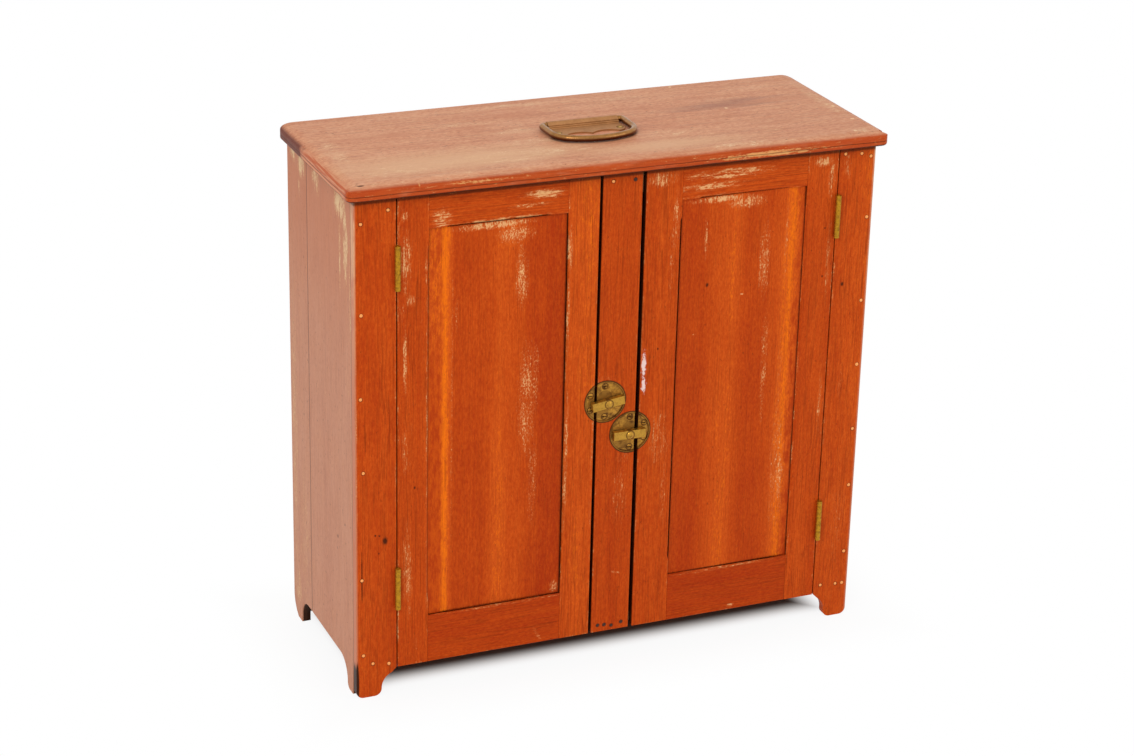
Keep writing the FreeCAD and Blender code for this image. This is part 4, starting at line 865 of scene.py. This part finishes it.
class CUPBOARD_OT_panels(Operator):
    """Stains the two door panels"""
    bl_idname = "cupboard.panels"
    bl_label = "Door panels"

    def execute(self, context):
        stain, groove = settings().front, 5.4
        for board, streak in zip(PANELS, (-212, 219)):
            f = wood(board, stain, rough=0.38)
            side = board.node.split("_")[0]
            stiles = ("hinge", "lock") if side == "left" else ("lock", "hinge")
            left, right = (corners_mm(f"{side}_door_{stile}_stile") for stile in stiles)
            bottom = corners_mm(f"{side}_door_bottom_rail")[1][2]
            # Painted shade, with dirt, along the grooves that hold the panel.
            near = smallest(f.x - (left[1][0] - groove), (right[0][0] + groove) - f.x,
                            f.z - (bottom - groove - 0.3)).shake(f.grit, 3)
            f.coat(near.fall(5.2, 7.6, 0.8), settings().colours.dirt)
            # Dark mottles in the sapwood by the stile.
            mottle = f.cloud((5, 5, 16), 5, 0.7, 41)
            dark = (mottle.rise(0.42, 0.62) * abs(f.x - streak).fall(5, 11)
                    * f.z.fade(290, 470, 1, 0.75))
            if side == "left":
                f.coat(f.z.fall(330, 440, 0.75) * abs(f.x + 213).fall(5, 10), stain.body)
            f.coat(dark * 0.8, stain.deep)
            put_on(board.node, close_wood(f))
        return {"FINISHED"}


# The bail as it lies, from above, in mm from the middle of a line 63.1 mm behind its front.
BAIL_FRONT = 63.1
BOW_BACK, BOW_RADIUS = 18, 77.5  # centre and radius of the bow in front
BEND_ASIDE, BEND_FRONT, BEND_RADIUS = 21.75, 28.68, 26  # of the bend at each side
BEND_WAY = (0.9063, 0.4226)  # the bends are what lies this way from the bow's centre


def bail_distance(f):
    """Distance from the rod of the lying bail, and distance behind the bail's own line.

    Each distance is that from a circle's centre less the circle's radius: the bow's circle in
    front, the bend's at the sides.
    """
    low, high = corners_mm("handle_bail")
    aside = abs(f.x - (low[0] + high[0]) / 2)
    behind = f.y - (low[1] + BAIL_FRONT)
    from_bow = behind - BOW_BACK
    bow = f.length(f.join(aside, from_bow, 0)) - BOW_RADIUS
    bend = f.length(f.join(aside - BEND_ASIDE, behind + BEND_FRONT, 0)) - BEND_RADIUS
    at_bend = f.math("GREATER_THAN", aside * BEND_WAY[0] + from_bow * BEND_WAY[1], 0)
    return abs(at_bend * (bend - bow) + bow), behind


class CUPBOARD_OT_top(Operator):
    """Finishes the rubbed top board with its darker nose"""
    bl_idname = "cupboard.top"
    bl_label = "Top board"

    def execute(self, context):
        top, front, colours = settings().top, settings().front, settings().colours
        board = TOP_BOARD
        f = wood(board, top, rough=0.46)
        # Tone along the depth, since the board's grain runs along x.
        smoke = f.cloud((150, 16, 40), 3, 0.6, 3, f.spot)
        f.coat(smoke.rise(0.46, 0.72, 0.5), top.deep)
        blotch = face_oval(f, board, 185, 33, 84, 17).shake(smoke, 2.2)
        f.coat(blotch.fall(0.1, 1.2, 0.5), (0.24, 0.09, 0.07))
        # Painted shadow round the bail where it lies on the board.
        off, behind = bail_distance(f)
        f.coat(off.fall(1.2, 5.6, 0.75) * behind.fall(-36, -27), colours.reddish_shade)
        pale = smallest(face_oval(f, board, -180, -62, 170, 44),
                        face_oval(f, board, 60, -84, 120, 22)).shake(f.grit, 2)
        f.coat(pale.fall(0.2, 1.2, 0.75), top.haze)
        scar = face_oval(f, board, -296.5, -111, 4.6, 1.5)
        f.coat(scar.fall(0.5, 1.1, 0.85), colours.dirt)
        # The nose keeps its stain: everything lower than the moulding's upper part.
        drop = (TOP - f.z).shake(f.patch, 1.6)
        flame = f.cloud((7, 7, 60), 3, 0.6, 51)
        wear = smallest(f.oval((165, 0, 586.5), (95, FLAT, 4.4)),
                        f.oval((-235.5, 0, 593), (1.4, FLAT, 3)),
                        f.oval((-170, 0, 590.5), (110, FLAT, 3.6)) + 0.35)
        rub = wear.fall(0.2, 1.1) * 0.2 + (f.grit * 0.4 + f.scrape * 0.6)
        # The left end: rubbed like the top in front, dark with old dirt towards the back.
        low = corners_mm("top_board")[0]
        thread = f.cloud((30, 60, 1.6), 2, 0.6, 61, f.spot)
        end = f.layers(top.body, (thread.rise(0.46, 0.62, 0.75), colours.nose),
                       (f.y.shake(f.patch, 30).rise(28, 48), colours.grime))
        at_end = f.x.fall(low[0] + 2, low[0] + 9, 0.9) * f.y.rise(low[1] + 4, low[1] + 16)
        stained = f.layers(
            colours.nose, (f.late * 0.3, front.line), (f.patch.rise(0.5, 0.75, 0.2), top.body),
            (flame.rise(0.42, 0.66, 0.5), front.deep),
            (rub.rise(0.56, 0.7, 0.85), colours.rubbed), (at_end, end))
        f.coat(drop.rise(1.2, 4.2) * 0.95, stained)
        # A fine dark line runs along the nose, and painted shade darkens its lower lip.
        groove = drop.rise(9.4, 9.9) * drop.fall(10.3, 10.9)
        f.coat(largest(groove * 0.6, drop.rise(13.4, 15, 0.9)), colours.edge)
        eased_board("top_board", close_wood(f))
        return {"FINISHED"}


class CUPBOARD_OT_sides(Operator):
    """Finishes the boards of the two sides"""
    bl_idname = "cupboard.sides"
    bl_label = "Sides"

    def execute(self, context):
        inner, colours, out = settings().inner, settings().colours, abs(LEFT_EDGE)
        for board in SIDES:
            f = wood(board, settings().side, rough=0.5)
            # The board's inner half keeps bare wood, darker towards its foot; painted shade darkens
            # the foot low down, except on its outer face.
            bare = f.layers(inner.body, (f.late * 0.4, inner.line),
                            (f.z.fall(40, 90, 0.9), colours.dirt))
            f.colour = f.blend(abs(f.x).rise(out - 7, out - 5), bare, f.colour)
            f.coat(abs(f.x).fall(out - 1.6, out - 0.7, 0.95) * f.z.fall(33, 37), colours.edge)
            f.coat(f.z.rise(350, 560, 0.5) * f.bare.fall(0, 0.6), colours.blush)
            # The narrow edges and the joint behind the stile are dark.
            low, high = corners_mm(board.node)
            seam = high[1] if "front" in board.node else low[1]
            f.coat(largest(abs(f.y - seam).fall(0.35, 1, 0.85),
                           (f.y - SIDE_FRONT).fall(0.2, 0.8, 0.9)), colours.edge)
            eased_board(board.node, close_wood(f))
        return {"FINISHED"}


class CUPBOARD_OT_inside(Operator):
    """Finishes the shelves, the boards inside and the back"""
    bl_idname = "cupboard.inside"
    bl_label = "Shelves and back"

    def execute(self, context):
        rows = (("bottom_board", "X", "z"), ("upper_shelf", "X", "z"), ("lower_shelf", "X", "z"),
                ("shelf_cleats", "Y", "x"), ("header_rail", "X", "y"),
                ("left_back_board", "Z", "y"), ("middle_left_back_board", "Z", "y"),
                ("middle_right_back_board", "Z", "y"), ("right_back_board", "Z", "y"))
        for seed, (node, grain, face) in enumerate(rows, 41):
            tone = 0.34 + 0.16 * ((seed * 7) % 5) / 4
            board = Board(node, grain, seed, ((0, tone), (1, tone + 0.08)), face=face, edges=0.3)
            show = put_on if node == "shelf_cleats" else eased_board
            show(node, close_wood(wood(board, settings().inner, rough=0.6)))
        return {"FINISHED"}


def centre_of(node):
    """Middle of a frame node's box in millimetres."""
    low, high = corners_mm(node)
    return (low + high) / 2


# The screws of a latch plate and its strike, from its centre: outwards and up.
LATCH_SCREWS = ((0, -18), (0, 18), (17.3, -8.6), (17.3, 8.6))


class CUPBOARD_OT_latches(Operator):
    """Finishes the round latch plates, their turn bars, pivots and screws"""
    bl_idname = "cupboard.latches"
    bl_label = "Latches"

    def execute(self, context):
        colours = settings().colours
        for side, out, (x, z, radius) in zip(("left", "right"), (-1, 1), latch_rounds()):
            heads = [(x + out * aside, z + up) for aside, up in LATCH_SCREWS]
            # Painted shade under each plate's rim; a darker line inside the rim, dark rings round
            # the screw heads, and two darker patches, low on the left and above the middle.
            rings = [(x, z, radius - 2.9, radius - 1.9, 0.6), (x, z, radius - 1, radius + 1, 0.95),
                     *((*head, 3.1, 3.9, 0.95) for head in heads),
                     (x - 9, z - 6, -2, 13, 0.42), (x, z + 4, -2, 9, 0.5)]
            skin = brass(f"brass_{side}_latch", colours.plate, 0.58, 0.4, rings, grime=0.42)
            put_on(f"{side}_latch_plate", skin)
            put_on(f"{side}_latch_strike", skin)
            pivot = centre_of(f"{side}_turn_bar_pivot")
            # Painted shade in a ring round each pivot's head on the bar.
            put_on(f"{side}_turn_bar", brass(f"brass_{side}_bar", colours.bar, 0.3, 0.28,
                                             ((pivot[0], pivot[2], 4.2, 5.4, 0.75),)))
            put_on(f"{side}_turn_bar_pivot", brass(f"brass_{side}_pivot", colours.bar, 0.5, 0.3))
        # Painted shade in the screws' slots and round the rims of their domed heads.
        for stem, node in (("left", "left_strike_screws"), ("right", "right_strike_screws"),
                           ("plate", "latch_plate_screws")):
            put_on(node, brass(f"brass_{stem}_screws", colours.plate, 1.2, 0.45,
                               slot=("y", corners_mm(node)[0][1], 1)))
        return {"FINISHED"}


class CUPBOARD_OT_hinges(Operator):
    """Finishes the butt hinges and adds the heads of their screws"""
    bl_idname = "cupboard.hinges"
    bl_label = "Hinges"

    def execute(self, context):
        skin = brass("brass_hinge", settings().colours.hinge, 0.5, 0.4)
        dull = brass("brass_hinge_screw", settings().colours.hinge, 0.7, 0.45)
        radius = settings().sizes.hinge_screw_radius / MM
        dome = ((0, 0.06), (0.35 * radius, 0.055), (0.75 * radius, 0.04), (radius, 0.015),
                (0.96 * radius, -0.125))
        # From a leaf's ends and from the front to its screws, and from the axis to its face.
        end, depth, lift = 9.5, 4.35, 0.1
        groups = {}
        for side, away in (("left", -1), ("right", 1)):
            for level in ("upper", "lower"):
                stem = f"{side}_{level}_hinge"
                for part in ("frame_leaf", "door_leaf", "pin"):
                    put_on(f"{stem}_{part}", skin)
                axis = centre_of(f"{stem}_pin")[0]
                low, high = corners_mm(f"{stem}_frame_leaf")
                for height in (low[2] + end, high[2] - end):
                    for body, facing in (("carcass", -away), (f"{side}_door", away)):
                        groups.setdefault((body, facing), []).append(
                            (axis - facing * lift, FACE + depth, height))
        for (body, facing), places in groups.items():
            turned_heads(f"hinge_screws_{body}_{'right' if facing > 0 else 'left'}", places, dome,
                         facing, dull, body, "screw", len(body) + facing)
        return {"FINISHED"}


class CUPBOARD_OT_handle(Operator):
    """Finishes the bail handle, its plate and its screws"""
    bl_idname = "cupboard.handle"
    bl_label = "Bail handle"

    def execute(self, context):
        colours = settings().colours
        low, high = corners_mm("handle_screws")
        radius, middle = (high[1] - low[1]) / 2, (low[1] + high[1]) / 2
        rings = [(x, middle, radius - 0.3, radius + 0.5, 0.9)
                 for x in (low[0] + radius, high[0] - radius)]
        put_on("handle_plate", brass(
            "brass_handle_plate", colours.handle_plate, 0.12, 0.55, rings, grime=0.15, seen="z",
            lie=(180, 0.8, 0.8), scored=0.25))
        # Painted shade in the slots of the handle's screws.
        put_on("handle_screws", brass("brass_handle_screws", colours.screw, 0.25, 0.36,
                                      slot=("z", high[2], -1)))
        low, high = corners_mm("handle_bail")
        # The bail's lower side gets painted shade with a reddish painted reflection of the wood.
        put_on("handle_bail", brass("brass_bail", colours.handle, 0.35, 0.16, grime=0.15,
                                    shade=(low[2], high[2]), lie=(20, 1.2, 1.2)))
        return {"FINISHED"}


def nail_metal(name, body):
    """Hammered nail head with a darker edge film."""
    f = Finish(name)
    mottle = f.cloud(1.1, 3, 0.6)
    f.colour = f.blend(mottle.rise(0.5, 0.78, 0.55), body, settings().colours.rust)
    return f.close(mottle.fade(0.3, 0.7, 0.34, 0.6), mottle, 0.5, 0.15, Metallic=0.5)


class CUPBOARD_OT_nails(Operator):
    """Adds the nail heads of the face frame and of the top board"""
    bl_idname = "cupboard.nails"
    bl_label = "Nails"

    def execute(self, context):
        sizes, colours = settings().sizes, settings().colours
        radius, height = sizes.nail_radius / MM, sizes.nail_height / MM
        dome = np.array(((0, height), (0.4 * radius, 0.92 * height),
                         (0.75 * radius, 0.66 * height), (radius, 0.12 * height),
                         (0.98 * radius, -0.5)))
        face = [(x, FACE, z) for x, z in LEFT_NAILS + CENTRE_NAILS + RIGHT_NAILS]
        dark = [(x, FACE, z) for x, z in CENTRE_DARK]
        top = [(x, y, TOP) for x, y in TOP_NAILS]
        for name, metal, colour, places, profile, axis, seed in (
                ("face_nails", "nail_copper", colours.copper, face, dome, -2, 3),
                ("dark_face_nails", "nail_rust", colours.rust, dark, dome, -2, 4),
                ("top_nails", "nail_putty", colours.putty, top, dome * (1.1, 0.3), 3, 5)):
            turned_heads(name, places, profile, axis, nail_metal(metal, colour), "carcass", "nail",
                         seed)
        return {"FINISHED"}


# ---------------------------------------------------------------- stage

WHITE = (1, 1, 1)
FLOOR_HALF, FLOOR_CELLS = 9, 40  # half the floor's side in metres, cells along it
LENS, FILM = 87.52, 36  # millimetres
EYE = (-1.14909, -2.65923, 1.48797)
EYE_TURN = (67.6925, -1.2872, -22.5736)  # degrees


def floor_mesh():
    """A square grid that falls away by the fourth power of the distance, far out."""
    steps = np.linspace(-1, 1, FLOOR_CELLS + 1)
    along, deep = np.meshgrid(FLOOR_HALF * steps, FLOOR_HALF * steps, indexing="ij")
    drop = -0.02 * (np.hypot(along, deep) / FLOOR_HALF) ** 4
    points = np.stack([along, deep, drop], -1).reshape(-1, 3)
    row, cells = FLOOR_CELLS + 1, np.arange(FLOOR_CELLS)
    first = (cells[:, None] * row + cells).ravel()
    quads = np.stack([first, first + row, first + row + 1, first + 1], 1)
    data = bpy.data.meshes.new("floor")
    data.from_pydata(points.tolist(), [], quads.tolist())
    return data


def floor_finish():
    """Pale floor in the cupboard's own shade below it, white to the eye further out."""
    f, colours = Finish("floor_pale"), settings().colours
    grey = f.cloud(900, 3).rise(0.3, 0.7, 0.06)
    f.colour = f.blend(grey, colours.floor, (0.75, 0.74, 0.73))
    low = corners_mm("left_stile")[0]
    right, back = corners_mm("right_stile")[1][0], corners_mm("left_side_back_board")[1][1]
    away = largest(low[0] - f.x, f.x - right, low[1] - f.y, f.y - back)
    f.coat(away.fall(-50, -20, 0.92), colours.below)
    for name, value in (("Base Color", f.colour), ("Roughness", 0.8), ("Specular IOR Level", 0.1)):
        f.feed(f.shader.inputs[name], value)
    white, both = f.node("ShaderNodeEmission"), f.node("ShaderNodeMixShader")
    f.feed(white.inputs["Color"], WHITE)
    share = away.rise(-50, -10, 0.9) + away.rise(-10, 110, 0.1)
    for socket, value in zip(both.inputs, (f.eye_rays() * share, f.shader.outputs[0],
                                           white.outputs[0])):
        f.feed(socket, value)
    f.feed(f.tree.nodes["Material Output"].inputs["Surface"], both.outputs[0])
    return f.material


def lamp(name, place, size, power):
    """A square soft lamp that faces the middle of the cupboard."""
    data = bpy.data.lights.new(name, "AREA")
    data.size, data.energy = size, power
    made = bpy.data.objects.new(name, data)
    made.location = place
    aim = np.array((0, 0, 0.3)) - np.array(place)
    made.rotation_euler = (math.pi - math.acos(aim[2] / np.linalg.norm(aim)), 0,
                           math.atan2(aim[1], aim[0]) - math.pi / 2)
    bpy.context.scene.collection.objects.link(made)


class CUPBOARD_OT_stage(Operator):
    """Adds the floor, the lamps and the camera"""
    bl_idname = "cupboard.stage"
    bl_label = "Stage"

    def execute(self, context):
        scene, light = context.scene, settings().light
        scene.view_settings.view_transform = "Standard"
        floor = bpy.data.objects.new("floor", floor_mesh())
        scene.collection.objects.link(floor)
        floor.data.materials.append(floor_finish())

        # White all round for the eye and for the gloss of the brass; softer as a lamp.
        world = bpy.data.worlds.new("White room")
        world.use_nodes = True
        scene.world = world
        room = Wiring(world.node_tree)
        back = room.tree.nodes["Background"]
        room.feed(back.inputs["Color"], WHITE)
        room.feed(back.inputs["Strength"], room.eye_rays().fade(0, 1, light.sky, 1))

        lamp("Key lamp", (-1.7, -2.1, 2.3), 1.6, light.key)
        lamp("Fill lamp", (2, -1.9, 1.5), 1.8, light.fill)

        eye = bpy.data.cameras.new("Camera")
        eye.lens, eye.sensor_width, eye.clip_end = LENS, FILM, 60
        camera = bpy.data.objects.new("Camera", eye)
        camera.location = EYE
        camera.rotation_euler = [math.radians(angle) for angle in EYE_TURN]
        scene.collection.objects.link(camera)
        scene.camera = camera
        return {"FINISHED"}


STEPS = (CUPBOARD_OT_front, CUPBOARD_OT_panels, CUPBOARD_OT_top, CUPBOARD_OT_sides,
         CUPBOARD_OT_inside, CUPBOARD_OT_latches, CUPBOARD_OT_hinges, CUPBOARD_OT_handle,
         CUPBOARD_OT_nails, CUPBOARD_OT_stage)


class CUPBOARD_PT_panel(Panel):
    """Lists the cupboard's steps and settings"""
    bl_idname = "CUPBOARD_PT_panel"
    bl_label = "Jelly cupboard"
    bl_space_type = "VIEW_3D"
    bl_region_type = "UI"
    bl_category = "Cupboard"

    def draw(self, context):
        for step in STEPS:
            self.layout.operator(step.bl_idname)
        for group in GROUPS:
            box = self.layout.box()
            box.label(text=group.__doc__.strip("."))
            owner = getattr(context.scene.jelly_cupboard, GROUPS[group])
            for name in group.__annotations__:
                box.prop(owner, name)


GROUPS = {CupboardSizes: "sizes", FrontWood: "front", TopWood: "top", SideWood: "side",
          InnerWood: "inner", CupboardColours: "colours", CupboardLight: "light"}


class JellyCupboard(PropertyGroup):
    """All settings of the cupboard."""
    sizes: PointerProperty(type=CupboardSizes)
    front: PointerProperty(type=FrontWood)
    top: PointerProperty(type=TopWood)
    side: PointerProperty(type=SideWood)
    inner: PointerProperty(type=InnerWood)
    colours: PointerProperty(type=CupboardColours)
    light: PointerProperty(type=CupboardLight)


CLASSES = (*GROUPS, JellyCupboard, *STEPS, CUPBOARD_PT_panel)


def register():
    for made in CLASSES:
        bpy.utils.register_class(made)
    bpy.types.Scene.jelly_cupboard = PointerProperty(type=JellyCupboard)


def unregister():
    del bpy.types.Scene.jelly_cupboard
    for made in reversed(CLASSES):
        bpy.utils.unregister_class(made)


def main():
    register()
    bpy.ops.cupboard.front()
    bpy.ops.cupboard.panels()
    bpy.ops.cupboard.top()
    bpy.ops.cupboard.sides()
    bpy.ops.cupboard.inside()
    bpy.ops.cupboard.latches()
    bpy.ops.cupboard.hinges()
    bpy.ops.cupboard.handle()
    bpy.ops.cupboard.nails()
    bpy.ops.cupboard.stage()


if __name__ == "__main__":
    main()
